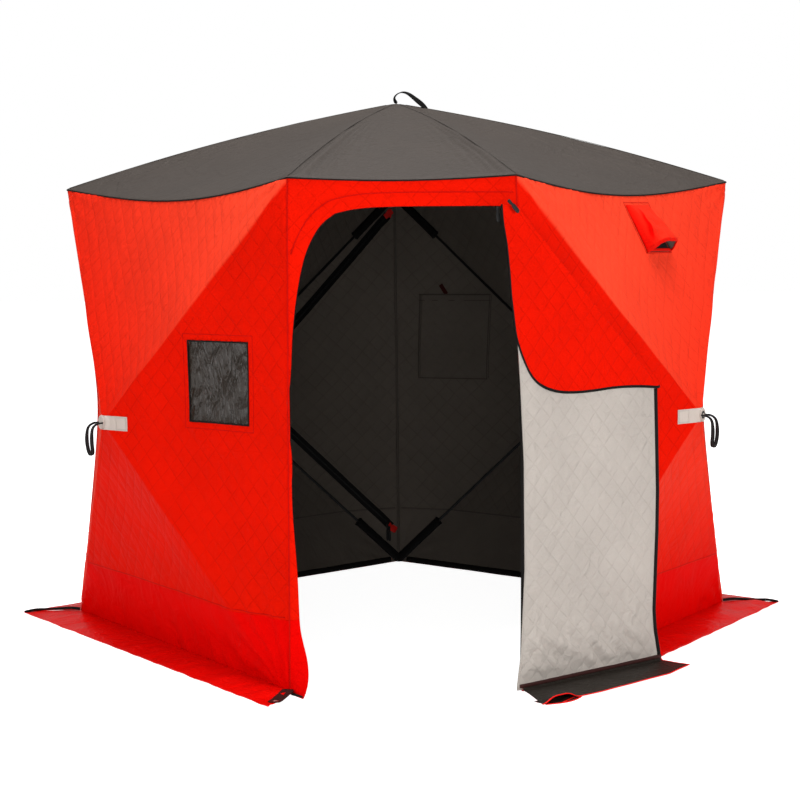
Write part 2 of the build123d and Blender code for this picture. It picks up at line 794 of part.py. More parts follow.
# Vent hood: a wedge of fabric propped open along its lower edge.
with BuildPart() as right_vent_hood:
    foot = vent_head + vent_slope * vent_length
    lip = foot + right_top.z_dir * VENT_REACH
    side = vent_along * (VENT_WIDTH / 2)
    sheet([vent_head - side, foot - side, lip - side], vent_along * VENT_WIDTH)
    shrink = vent_along * VENT_FABRIC
    drop = vent_slope * (VENT_FABRIC * vent_length / VENT_REACH)
    hollow = [vent_head + drop, foot + drop, lip + drop]
    with BuildPart(mode=Mode.PRIVATE) as inside_hood:
        sheet([p - side + shrink for p in hollow], vent_along * (VENT_WIDTH - 2 * VENT_FABRIC))
    add(inside_hood.part, mode=Mode.SUBTRACT)
save(right_vent_hood, "right_vent_hood")


# Zip of the second way in: two straight runs inside the back left wall.
def zip_run(run, height, from_seam, vertex):
    """Adds a zip run on a facet's inner face, from a height on the seam to the vertex."""
    plane = BACK_LEFT.plane(*run)
    across = plane.x_dir
    end = between(run[0], run[1], height)
    across = across if across.dot(BACK_LEFT.hub - end) > 0 else across * -1
    end = end + across * from_seam
    width = plane.z_dir.cross((vertex - end).normalized())
    width = width if width.dot(BACK_LEFT.hub - end) > 0 else width * -1
    fold = (BACK_LEFT.hub - vertex).normalized()
    tip = vertex + fold * (ZIP_WIDTH / width.dot(fold))
    sheet([end, vertex, tip, end + width * ZIP_WIDTH], BACK_LEFT.out * -ZIP_FABRIC, WALL_FABRIC)


with BuildPart() as side_door_zip:
    lower, upper = side_runs(BACK)
    waist = lower[1]
    vertex = waist + (BACK_LEFT.hub - waist).normalized() * ZIP_VERTEX_FROM_SEAM
    zip_run(upper, WALL_TOP - ZIP_DROP, ZIP_END_FROM_SEAM, vertex)
    zip_run(lower, ZIP_FOOT, ZIP_END_FROM_SEAM, vertex)
save(side_door_zip, "side_door_zip")


# Carrying strap, from the apex to a seat on the right ridge.
strap_fall = STRAP_SPAN * (CENTRE_HEIGHT - EAVE_HEIGHT) / (side_reach + EAVE_FLARE)
strap_foot = CENTRE_HEIGHT + TOUCH_GAP
strap_plane = Plane(origin=(0, PLAN_Y, strap_foot), x_dir=(1, 0, 0), z_dir=(0, -1, 0))
with BuildPart() as roof_strap:
    with BuildSketch(strap_plane):
        with BuildLine():
            ThreePointArc((0, 0), (STRAP_SPAN / 2, STRAP_RISE), (STRAP_SPAN, -strap_fall))
            offset(amount=STRAP_FABRIC, side=Side.LEFT)
        make_face()
    extrude(amount=STRAP_WIDTH / 2, both=True)
save(roof_strap, "roof_strap")


# Anchor tab at the front left corner, with its grommet. It starts on the skirt.
tab_out = Vector(-sin(radians(TAB_TURN)), -cos(radians(TAB_TURN)), 0)
tab_start = FRONT_LEFT + tab_out * TAB_FROM_CORNER + UP * SKIRT_FABRIC
tab_plane = Plane(origin=tab_start, x_dir=tab_out, z_dir=(0, 0, 1))
with BuildPart() as anchor_tab:
    with BuildSketch(tab_plane):
        with Locations((TAB_LENGTH / 2, 0)):
            Rectangle(TAB_LENGTH, TAB_WIDTH)
        with Locations((TAB_LENGTH - TAB_WIDTH / 2, 0)):
            Circle(GROMMET_RADIUS, mode=Mode.SUBTRACT)
    extrude(amount=TAB_FABRIC)
save(anchor_tab, "anchor_tab")

with BuildPart() as anchor_grommet:
    with BuildSketch(tab_plane):
        with Locations((TAB_LENGTH - TAB_WIDTH / 2, 0)):
            Circle(GROMMET_RADIUS)
            Circle(GROMMET_BORE, mode=Mode.SUBTRACT)
    extrude(amount=TAB_FABRIC)
save(anchor_grommet, "anchor_grommet")

print("door rests open by", round(180 + degrees(swing), 3), "degrees, hinge at", HINGE)
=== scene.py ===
"""The looks of the pop-up ice fishing hut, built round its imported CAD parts.

Metres, +Z up, the doorway faces -Y. Every piece is placed from the CAD boxes.
"""

import json
from math import cos, pi, radians, sin, sqrt

import bmesh
import bpy
import numpy as np
from mathutils import Matrix, Vector
from mathutils.bvhtree import BVHTree


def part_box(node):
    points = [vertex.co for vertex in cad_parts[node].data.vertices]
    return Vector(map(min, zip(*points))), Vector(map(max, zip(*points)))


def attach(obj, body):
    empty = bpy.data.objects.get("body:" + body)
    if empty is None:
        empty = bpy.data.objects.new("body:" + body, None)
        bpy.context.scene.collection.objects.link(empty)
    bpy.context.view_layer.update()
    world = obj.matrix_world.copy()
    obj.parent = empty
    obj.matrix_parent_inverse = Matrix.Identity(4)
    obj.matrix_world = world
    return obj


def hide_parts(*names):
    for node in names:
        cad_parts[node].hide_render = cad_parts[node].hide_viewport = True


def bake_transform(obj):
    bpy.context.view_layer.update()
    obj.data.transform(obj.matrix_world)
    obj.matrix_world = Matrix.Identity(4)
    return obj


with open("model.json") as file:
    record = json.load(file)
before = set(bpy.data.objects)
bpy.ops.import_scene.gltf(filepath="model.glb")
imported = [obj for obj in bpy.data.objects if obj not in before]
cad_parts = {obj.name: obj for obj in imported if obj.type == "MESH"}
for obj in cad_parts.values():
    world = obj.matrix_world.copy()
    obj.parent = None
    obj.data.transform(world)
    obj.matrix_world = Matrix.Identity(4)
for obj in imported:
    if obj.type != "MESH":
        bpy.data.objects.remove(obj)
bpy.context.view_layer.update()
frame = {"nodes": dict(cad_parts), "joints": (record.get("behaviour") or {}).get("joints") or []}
scene = bpy.context.scene

# Camera. It stands in front of the doorway at eye height, a little left of the middle,
# level enough that the corners stay upright.
EYE = Vector((-0.084, -8.440, 1.504))
YAW, PITCH, ROLL = radians(0.572), radians(4.464), radians(-0.688)
LENS = 98.17


def linked(name, data):
    """An object made of some data and put in the scene."""
    made = bpy.data.objects.new(name, data)
    scene.collection.objects.link(made)
    return made


ahead = Vector((sin(YAW) * cos(PITCH), cos(YAW) * cos(PITCH), -sin(PITCH)))
level = Vector((cos(YAW), -sin(YAW), 0))
above = level.cross(ahead)
right = level * cos(ROLL) + above * sin(ROLL)
top = above * cos(ROLL) - level * sin(ROLL)
camera_data = bpy.data.cameras.new("camera")
camera_data.lens = LENS
camera = linked("camera", camera_data)
axes = Matrix((right, top, -ahead)).transposed().to_4x4()
camera.matrix_world = Matrix.Translation(EYE) @ axes
scene.camera = camera
scene.view_settings.view_transform = "Standard"

# Pull loops. A limp black cord leaves the washer of each hub, goes out, over and down,
# hangs free and comes back into the washer. Hauling on it pops the wall out.
UP = np.array((0.0, 0.0, 1.0))
HUB_PUSH = 0.262
ROOF_FABRIC = 0.003
LOOP_DIAMETER = 0.006
LOOP_SPREAD, LOOP_REACH, LOOP_DROP = 0.040, 0.038, 0.112
LOOP_BOW, LOOP_WIDENING = 0.008, 1.15
WASHER_FACE = 0.0073


def low(node):
    """The lowest corner of a CAD part's box."""
    return np.array(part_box(node)[0])


def high(node):
    """The highest corner of a CAD part's box."""
    return np.array(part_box(node)[1])


def unit(vector):
    """A vector made one metre long."""
    return vector / np.linalg.norm(vector)


def units(vectors):
    """Rows of vectors, each made one metre long."""
    return vectors / np.linalg.norm(vectors, axis=1)[:, None]


def shares(count):
    """Even shares from nothing to the whole."""
    return np.linspace(0, 1, count)


def clamp(values):
    """Values kept from 0 to 1."""
    return np.clip(values, 0, 1)


def mirrored(point):
    """A point reflected across the hut's left-right middle."""
    return point * np.array((-1.0, 1.0, 1.0))


SIDE_LEFT = np.array((low("left_bottom_gore")[0], low("back_left_bottom_gore")[1], 0.0))
SIDE_RIGHT = mirrored(SIDE_LEFT)
BACK = np.array((0.0, high("back_left_bottom_gore")[1], 0.0))
FRONT_LEFT = np.array((low("front_left_jamb")[0], low("front_left_jamb")[1], 0.0))
FRONT_RIGHT = mirrored(FRONT_LEFT)
RING = [FRONT_LEFT, SIDE_LEFT, BACK, SIDE_RIGHT, FRONT_RIGHT]
MIDDLE = np.array((0.0, SIDE_LEFT[1], 0.0))
HUB_HEIGHT = high("left_bottom_gore")[2]


class Wall:
    """A hubbed wall between two corners: its direction, its outside and its hub."""

    def __init__(self, name, first, second):
        self.name, self.first, self.second = name, first, second
        middle = (first + second) / 2
        self.along = unit(second - first)
        self.out = np.cross(self.along, UP)
        if self.out @ (middle - MIDDLE) < 0:
            self.out = -self.out
        self.hub = middle + self.out * HUB_PUSH + UP * HUB_HEIGHT


LEFT = Wall("left", SIDE_LEFT, FRONT_LEFT)
RIGHT = Wall("right", SIDE_RIGHT, FRONT_RIGHT)
BACK_LEFT = Wall("back_left", BACK, SIDE_LEFT)
BACK_RIGHT = Wall("back_right", BACK, SIDE_RIGHT)
WALLS = [LEFT, RIGHT, BACK_LEFT, BACK_RIGHT]


def node(tree, kind, **settings):
    """A shader node of a kind, with its settings."""
    made = tree.nodes.new("ShaderNode" + kind)
    for name, value in settings.items():
        setattr(made, name, value)
    return made


def feed(tree, socket, value):
    """Gives a socket a number or colour, or links another socket to it."""
    if isinstance(value, bpy.types.NodeSocket):
        tree.links.new(value, socket)
    elif socket.type == "RGBA":
        socket.default_value = (*value[:3], 1)
    else:
        socket.default_value = value


def sum_of(tree, operation, *values):
    """The result of a Math node on sockets or numbers."""
    made = node(tree, "Math", operation=operation)
    for socket, value in zip(made.inputs, values):
        feed(tree, socket, value)
    return made.outputs[0]


def blend_of(tree, share, first, second, kind="MIX"):
    """Two colours mixed by a share."""
    made = node(tree, "Mix", data_type="RGBA", blend_type=kind)
    for index, value in ((0, share), (6, first), (7, second)):
        feed(tree, made.inputs[index], value)
    return made.outputs[2]


def ramp(tree, value, start, end, low_end=0.0, high_end=1.0):
    """A value taken smoothly from one range to another."""
    made = node(tree, "MapRange", interpolation_type="SMOOTHSTEP")
    for index, given in enumerate((value, start, end, low_end, high_end)):
        feed(tree, made.inputs[index], given)
    return made.outputs[0]


def group(name, inputs, outputs):
    """A node group with its named inputs and outputs, and both of its end nodes."""
    tree = bpy.data.node_groups.new(name, "ShaderNodeTree")
    for label, kind, start in inputs:
        made = tree.interface.new_socket(label, in_out="INPUT", socket_type="NodeSocket" + kind)
        if start is not None:
            made.default_value = start
    for label, kind in outputs:
        tree.interface.new_socket(label, in_out="OUTPUT", socket_type="NodeSocket" + kind)
    return tree, tree.nodes.new("NodeGroupInput").outputs, tree.nodes.new("NodeGroupOutput").inputs


def placed(tree, made_group, **values):
    """A node group placed in a material with its own values."""
    made = tree.nodes.new("ShaderNodeGroup")
    made.node_tree = made_group
    for name, value in values.items():
        feed(tree, made.inputs[name], value)
    return made.outputs


def noise_of(tree, place, scale, detail=4.0, roughness=0.55):
    """A cloudy noise from 0 to 1."""
    made = node(tree, "TexNoise")
    feed(tree, made.inputs["Vector"], place)
    made.inputs["Scale"].default_value = scale
    made.inputs["Detail"].default_value = detail
    made.inputs["Roughness"].default_value = roughness
    return made.outputs[0]


LABELS = {
    "shine": "Specular IOR Level", "metal": "Metallic", "clear": "Transmission Weight",
    "bend": "IOR",
}


def new_finish(name):
    """An empty material, its tree and its shader."""
    material = bpy.data.materials.new(name)
    material.use_nodes = True
    return material, material.node_tree, material.node_tree.nodes["Principled BSDF"]


def dress(tree, shader, colour, roughness, height, depth=1.0, **settings):
    """Gives a shader its colour, roughness and relief, and other settings by name."""
    feed(tree, shader.inputs["Base Color"], colour)
    feed(tree, shader.inputs["Roughness"], roughness)
    bump = node(tree, "Bump")
    bump.inputs["Distance"].default_value = depth
    feed(tree, bump.inputs["Height"], height)
    tree.links.new(bump.outputs[0], shader.inputs["Normal"])
    for label, value in settings.items():
        shader.inputs[LABELS[label]].default_value = value


def relief(tree, *layers):
    """Heights times depths, added up."""
    first, *others = [sum_of(tree, "MULTIPLY", height, depth) for height, depth in layers]
    for layer in others:
        first = sum_of(tree, "ADD", first, layer)
    return first


# Woven threads crossing over and under, Height 0 to 1.
WEAVE, given, result = group(
    "weave", [("Place", "Vector", None), ("Thread", "Float", 0.001)], [("Height", "Float")]
)
parts = node(WEAVE, "SeparateXYZ")
WEAVE.links.new(given["Place"], parts.inputs[0])
runs = []
for way in parts.outputs:
    turns = sum_of(WEAVE, "DIVIDE", sum_of(WEAVE, "MULTIPLY", way, pi), given["Thread"])
    runs.append(sum_of(WEAVE, "SINE", turns))
crossing = sum_of(WEAVE, "ADD", sum_of(WEAVE, "MULTIPLY", runs[0], runs[1]), runs[2])
feed(WEAVE, result["Height"], ramp(WEAVE, crossing, -2, 2))

# Handling creases: sharp little ridges where folded cloth was, Height 0 to 1.
CREASES, given, result = group(
    "creases", [("Place", "Vector", None), ("Scale", "Float", 8.0)], [("Height", "Float")]
)
drift = node(CREASES, "TexNoise")
CREASES.links.new(given["Place"], drift.inputs["Vector"])
CREASES.links.new(given["Scale"], drift.inputs["Scale"])
drift.inputs["Detail"].default_value = 3
drift.inputs["Distortion"].default_value = 0.6
off_middle = sum_of(CREASES, "ABSOLUTE", sum_of(CREASES, "SUBTRACT", drift.outputs[0], 0.5))
feed(CREASES, result["Height"], ramp(CREASES, off_middle, 0.0, 0.12, 1.0, 0.0))


def woven(
    name, colour, roughness, thread=0.0016, ridge=0.0002, fold=0.0006, unevenness=0.12,
    shine=0.15,
):
    """A material of plain woven cloth, webbing or cord."""
    material, tree, shader = new_finish(name)
    place = node(tree, "TexCoord").outputs["Object"]
    cloud = noise_of(tree, place, 14)
    dark = [c * (1 - unevenness) for c in colour]
    pale = [c * (1 + unevenness) for c in colour]
    weave = placed(tree, WEAVE, Place=place, Thread=thread)["Height"]
    folds = placed(tree, CREASES, Place=place, Scale=16.0)["Height"]
    dress(
        tree, shader, blend_of(tree, cloud, dark, pale),
        ramp(tree, cloud, 0, 1, roughness - 0.06, roughness + 0.06),
        relief(tree, (weave, ridge), (folds, fold)), shine=shine,
    )
    return material


def ribbon(points, facing, width, thickness, sides=12):
    """A rounded flat section carried along points, with its flat side to facing."""
    points = np.asarray(points, float)
    step = units(np.diff(points, axis=0))
    if np.linalg.norm(points[0] - points[-1]) < 1e-6:
        before, after = np.vstack([step[-1:], step]), np.vstack([step, step[:1]])
    else:
        before, after = np.vstack([step[:1], step]), np.vstack([step, step[-1:]])
    along = before + after
    widen = 2 / np.linalg.norm(along, axis=1)
    along /= np.linalg.norm(along, axis=1)[:, None]
    facing = np.broadcast_to(np.asarray(facing, float), points.shape)
    side = units(np.cross(along, facing))
    face = np.cross(side, along)
    angle = np.linspace(0, 2 * pi, sides, endpoint=False)
    round_wide = np.sign(np.cos(angle)) * np.abs(np.cos(angle)) ** 0.6 / 2
    round_thick = np.sign(np.sin(angle)) * np.abs(np.sin(angle)) ** 0.6 / 2
    width = np.broadcast_to(width, len(points)) * np.clip(widen, 1, 1.5)
    thickness = np.broadcast_to(thickness, len(points))
    wide, thick = width[:, None] * round_wide, thickness[:, None] * round_thick
    return points[:, None] + side[:, None] * wide[..., None] + face[:, None] * thick[..., None]


def quads(rows, columns, closed):
    """The four-sided faces of a grid of points numbered row by row."""
    index = np.arange(rows * columns).reshape(rows, columns)
    if closed:
        index = np.hstack([index, index[:, :1]])
    corners = [index[:-1, :-1], index[:-1, 1:], index[1:, 1:], index[1:, :-1]]
    return np.stack(corners, -1).reshape(-1, 4)


def riding(name, mesh, body):
    """A mesh made into a piece of the shelter or the door."""
    piece = linked(name, mesh)
    if body:
        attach(piece, body)
    return piece


def band(name, points, facing, width, thickness, finish, body="shelter", sides=12, slot=None):
    """A strip of binding, tape or cord along points, closed at both ends."""
    grid = ribbon(points, facing, width, thickness, sides)
    count = len(grid)
    last = (count - 1) * sides
    ends = [list(range(sides)), list(range(last + sides - 1, last - 1, -1))]
    mesh = bpy.data.meshes.new(name)
    mesh.from_pydata(grid.reshape(-1, 3).tolist(), [], quads(count, sides, True).tolist() + ends)
    work = bmesh.new()
    work.from_mesh(mesh)
    bmesh.ops.recalc_face_normals(work, faces=work.faces)
    work.to_mesh(mesh)
    work.free()
    mesh.shade_smooth()
    mesh.materials.append(finish)
    return riding(name, mesh, body)


black_cord = woven("black_cord", (0.010, 0.0095, 0.010), 0.62, fold=0.0)
loop_webbing = woven(
    "loop_webbing", (0.009, 0.0085, 0.0085), 0.66, thread=0.0022, ridge=0.0003, shine=0.06
)

for wall in WALLS:
    side, out = wall.along * (LOOP_SPREAD / 2), wall.out
    start = wall.hub + out * WASHER_FACE
    route = [
        start + side,
        start + side + out * LOOP_REACH,
        start + side * LOOP_WIDENING + out * (LOOP_REACH + LOOP_BOW) - UP * (LOOP_DROP / 2),
        start + side + out * LOOP_REACH - UP * LOOP_DROP,
    ]
    route += [p - wall.along * (2 * wall.along @ (p - wall.hub)) for p in reversed(route)]
    curve = bpy.data.curves.new(wall.name + "_pull_cord", "CURVE")
    curve.dimensions = "3D"
    curve.bevel_depth = LOOP_DIAMETER / 2
    curve.bevel_resolution = 4
    curve.resolution_u = 16
    spline = curve.splines.new("NURBS")
    spline.points.add(len(route) - 1)
    for point, place in zip(spline.points, route):
        point.co = (*place, 1)
    spline.order_u = 3
    spline.use_endpoint_u = True
    curve.materials.append(black_cord)
    loop = linked(wall.name + "_pull_cord", curve)
    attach(loop, "shelter")
    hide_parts(wall.name + "_pull_loop")
    bare = curve.copy()
    bare.bevel_depth = 0
    line = bpy.data.meshes.new_from_object(bpy.data.objects.new("bare_line", bare))
    ends = [(line.vertices[a].co, line.vertices[b].co) for a, b in (e.vertices for e in line.edges)]
    centre_line = np.array([v.co[:] for v in line.vertices])
    share = shares(len(centre_line))
    spread = clamp((0.5 - np.abs(share - 0.5) - 0.08) / 0.16)
    covered = centre_line[3:-3]
    width = (0.0080 + 0.0065 * spread)[3:-3]
    band(wall.name + "_pull_webbing", covered, wall.along, width, 0.0042, loop_webbing)


# Hub walls. Each is four gores of quilted polyester sewn to a lining, stretched between
# its seams and the hub that the poles push out. The lowest band is plain coated cloth
# sewn on along a level seam, and the seams draw the cloth in at hub height.
WALL_FABRIC = 0.006
WALL_TOP = high("left_top_gore")[2]
EAVE_FLARE = SIDE_LEFT[0] - low("left_top_gore")[0]
FRONT_EAVE = high("roof_front_gore")[0]
SEAM_PINCH, RIGHT_PINCH, PINCH_ROUNDING = 0.110, 0.100, 0.15
FRONT_LEFT_BOW, FRONT_RIGHT_BOW = -0.003, -0.006
EAVE_SAG, EAVE_TUCK = 0.058, 0.030
GORE_HOLLOW = 0.012
QUILT_PITCH, BAND_HEIGHT = 0.053, 0.25
SEAM_STEPS, EDGE_STEPS, RINGS = 84, 96, 64
PUCKER_PITCH, PUCKER_DEPTH, PUCKER_REACH = 0.052, 0.0026, 0.055


def inward(corner):
    """The level direction that halves the inside angle at a corner."""
    index = [c is corner for c in RING].index(True)
    before, after = RING[index - 1], RING[(index + 1) % len(RING)]
    return unit(unit(before - corner) + unit(after - corner))


def at_door(corner):
    """Whether a corner stands beside the door wall."""
    return corner is FRONT_LEFT or corner is FRONT_RIGHT


def eave(corner, height):
    """The eave point above a corner."""
    if at_door(corner):
        point = np.array((np.sign(corner[0]) * FRONT_EAVE, corner[1], 0.0))
    else:
        point = corner - inward(corner) * EAVE_FLARE
    return point + UP * height


def seam_points(corner, steps=SEAM_STEPS):
    """The seam above a corner, from the ground to the wall's top, drawn in at its waist."""
    share = shares(steps + 1)[:, None]
    pinch = SEAM_PINCH
    if at_door(corner):
        pinch = FRONT_LEFT_BOW if corner is FRONT_LEFT else FRONT_RIGHT_BOW
    elif corner is SIDE_RIGHT:
        pinch = RIGHT_PINCH
    round_waist = sqrt(1 + PINCH_ROUNDING**2) - np.sqrt((2 * share - 1) ** 2 + PINCH_ROUNDING**2)
    return corner + (eave(corner, WALL_TOP) - corner) * share + inward(corner) * pinch * round_waist


def eave_points(first, second, height=WALL_TOP, steps=EDGE_STEPS, sag=EAVE_SAG, tuck=EAVE_TUCK):
    """The eave between two corners, hanging and drawn in a little between them."""
    share = shares(steps + 1)[:, None]
    start, end = eave(first, height), eave(second, height)
    out = unit(np.cross(end - start, UP))
    out = out if out @ ((start + end) / 2 - MIDDLE) > 0 else -out
    hang = np.sin(pi * share)
    return start + (end - start) * share - (UP * sag + out * tuck) * hang


def swell(x, y, seed, length, turn=0.0, spread=pi, waves=9):
    """An uneven surface from -1 to 1: waves of about one length, in random directions."""
    random = np.random.default_rng(seed)
    total = np.zeros_like(x)
    for _ in range(waves):
        angle = turn + random.uniform(-spread / 2, spread / 2)
        pitch = 2 * pi / (length * random.uniform(0.7, 1.5))
        total += np.sin((x * cos(angle) + y * sin(angle)) * pitch + random.uniform(0, 2 * pi))
    return total / sqrt(waves) / 1.6


def billow(x, y, seed, length, turn=0.0, spread=pi):
    """The same uneven surface, from 0 to 1."""
    return 0.5 + 0.5 * swell(x, y, seed, length, turn, spread)


def cloth(name, grid, cut, thickness, finishes, facing, closed=False, body="shelter"):
    """A sheet from a grid of points, thickened away from the side it faces. The map
    called cut holds each point's place across and up the flat cloth, in metres."""
    faces = quads(*grid.shape[:2], closed)
    flat = grid.reshape(-1, 3)
    a, b, c = (flat[faces[:, i]] for i in (0, 1, 2))
    if (np.cross(b - a, c - a) @ np.asarray(facing, float)).sum() < 0:
        faces = faces[:, ::-1]
    mesh = bpy.data.meshes.new(name)
    mesh.from_pydata(flat.tolist(), [], faces.tolist())
    cut = np.stack(np.broadcast_arrays(*cut), -1)
    corners = np.zeros(len(mesh.loops), int)
    mesh.loops.foreach_get("vertex_index", corners)
    layer = mesh.uv_layers.new(name="cut")
    layer.uv.foreach_set("vector", cut.reshape(-1, 2)[corners].astype(np.float32).ravel())
    mesh.shade_smooth()
    for finish in finishes:
        mesh.materials.append(finish)
    piece = riding(name, mesh, body)
    solid = piece.modifiers.new("thickness", "SOLIDIFY")
    solid.thickness = thickness
    solid.offset = -1
    solid.material_offset = len(finishes) - 1
    return piece


def capped(piece, count, facing):
    """Fills the small hole inside a round grid's first ring, facing outwards."""
    work = bmesh.new()
    work.from_mesh(piece.data)
    work.verts.ensure_lookup_table()
    cap = work.faces.new([work.verts[i] for i in range(count)])
    cap.normal_update()
    if cap.normal.dot(Vector(facing)) < 0:
        cap.normal_flip()
    work.to_mesh(piece.data)
    work.free()


def set_painted_sheen(piece, values):
    """Keeps a piece's painted sheen point by point: how far its colour turns to the paler sheen
    colour, painted light where light falls on it.
    """
    layer = piece.data.attributes.new("nap", "FLOAT", "POINT")
    layer.data.foreach_set("value", values.astype(np.float32).ravel())


QUILTING, given, result = group(
    "quilting",
    [
        ("Place", "Vector", None), ("Pitch", "Float", QUILT_PITCH),
        ("Plain Below", "Float", BAND_HEIGHT),
    ],
    [("Puff", "Float"), ("Stitch", "Float"), ("Band", "Float")],
)
wander = node(QUILTING, "TexNoise", noise_dimensions="3D")
QUILTING.links.new(given["Place"], wander.inputs["Vector"])
wander.inputs["Scale"].default_value = 5.0
shifted = node(QUILTING, "VectorMath", operation="MULTIPLY_ADD")
QUILTING.links.new(wander.outputs[1], shifted.inputs[0])
shifted.inputs[1].default_value = (0.016, 0.016, 0.0)
QUILTING.links.new(given["Place"], shifted.inputs[2])
parts = node(QUILTING, "SeparateXYZ")
QUILTING.links.new(shifted.outputs[0], parts.inputs[0])
rows = []
for operation in ("ADD", "SUBTRACT"):
    diagonal = sum_of(QUILTING, operation, parts.outputs[0], parts.outputs[1])
    turns = sum_of(QUILTING, "MULTIPLY", diagonal, pi / sqrt(2))
    turns = sum_of(QUILTING, "DIVIDE", turns, given["Pitch"])
    rows.append(sum_of(QUILTING, "ABSOLUTE", sum_of(QUILTING, "SINE", turns)))
nearest = sum_of(QUILTING, "MINIMUM", rows[0], rows[1])
band_top = sum_of(QUILTING, "ADD", given["Plain Below"], 0.004)
above_band = ramp(QUILTING, parts.outputs[1], given["Plain Below"], band_top)
pillow = sum_of(QUILTING, "POWER", sum_of(QUILTING, "MULTIPLY", rows[0], rows[1]), 0.45)
feed(QUILTING, result["Puff"], sum_of(QUILTING, "MULTIPLY", pillow, above_band))
stitched = ramp(QUILTING, nearest, 0.02, 0.17, 1.0, 0.0)
feed(QUILTING, result["Stitch"], sum_of(QUILTING, "MULTIPLY", stitched, above_band))
feed(QUILTING, result["Band"], sum_of(QUILTING, "SUBTRACT", 1.0, above_band))


def quilted(
    name, colour, band_colour, puff, fold, roughness, stitch_shade,
    plain_below=BAND_HEIGHT, shine=0.10, nap_colour=None,
):
    """A material of diamond-quilted cloth, plain below a height. Where a piece's painted sheen
    is set it turns to the paler sheen colour, painted light where the light falls."""
    material, tree, shader = new_finish(name)
    place = node(tree, "UVMap", uv_map="cut").outputs[0]
    quilt = placed(tree, QUILTING, Place=place, **{"Plain Below": plain_below})
    cloud = noise_of(tree, place, 4.0, 6.0)
    cloth_colour = blend_of(tree, quilt["Band"], colour, band_colour)
    if nap_colour:
        nap = node(tree, "Attribute", attribute_name="nap").outputs["Fac"]
        cloth_colour = blend_of(tree, nap, cloth_colour, nap_colour)
    shade = ramp(tree, cloud, 0.25, 0.75, 0.10, 0.0)
    cloth_colour = blend_of(tree, shade, cloth_colour, (0.0, 0.0, 0.0))
    # Painted shade in the sunk stitch lines, stronger in some patches and weaker in others.
    patchy_stitch_shade = ramp(
        tree, noise_of(tree, place, 9.0, 3.0), 0.38, 0.62, stitch_shade * 0.25, stitch_shade
    )
    stitched = sum_of(tree, "MULTIPLY", quilt["Stitch"], patchy_stitch_shade)
    cloth_colour = blend_of(tree, stitched, cloth_colour, [c * 0.25 for c in colour])
    weave = placed(tree, WEAVE, Place=place, Thread=0.0022)["Height"]
    folds = placed(tree, CREASES, Place=place, Scale=7.0)["Height"]
    fine = placed(tree, CREASES, Place=place, Scale=26.0)["Height"]
    layers = (quilt["Puff"], puff), (weave, 0.0002), (folds, fold), (fine, fold / 4)
    dress(
        tree, shader, cloth_colour, ramp(tree, cloud, 0, 1, roughness - 0.07, roughness + 0.07),
        relief(tree, *layers), shine=shine,
    )
    return material


# The third red is paler and oranger: painted sheen and stronger light where the lamps catch the
# gores.
RED, RED_BAND, RED_PAINTED_SHEEN = (0.655, 0.0056, 0.0003), (0.665, 0.0008, 0.0002), (0.83, 0.053, 0.021)
red_quilt = quilted(
    "red_quilt", RED, RED_BAND, 0.0027, 0.0022, 0.62, 0.20, shine=0.012,
    nap_colour=RED_PAINTED_SHEEN,
)
dark_lining = quilted(
    "dark_lining", (0.155, 0.132, 0.111), (0.160, 0.136, 0.115), 0.0022, 0.0012, 0.80, 0.22,
    shine=0.03,
)


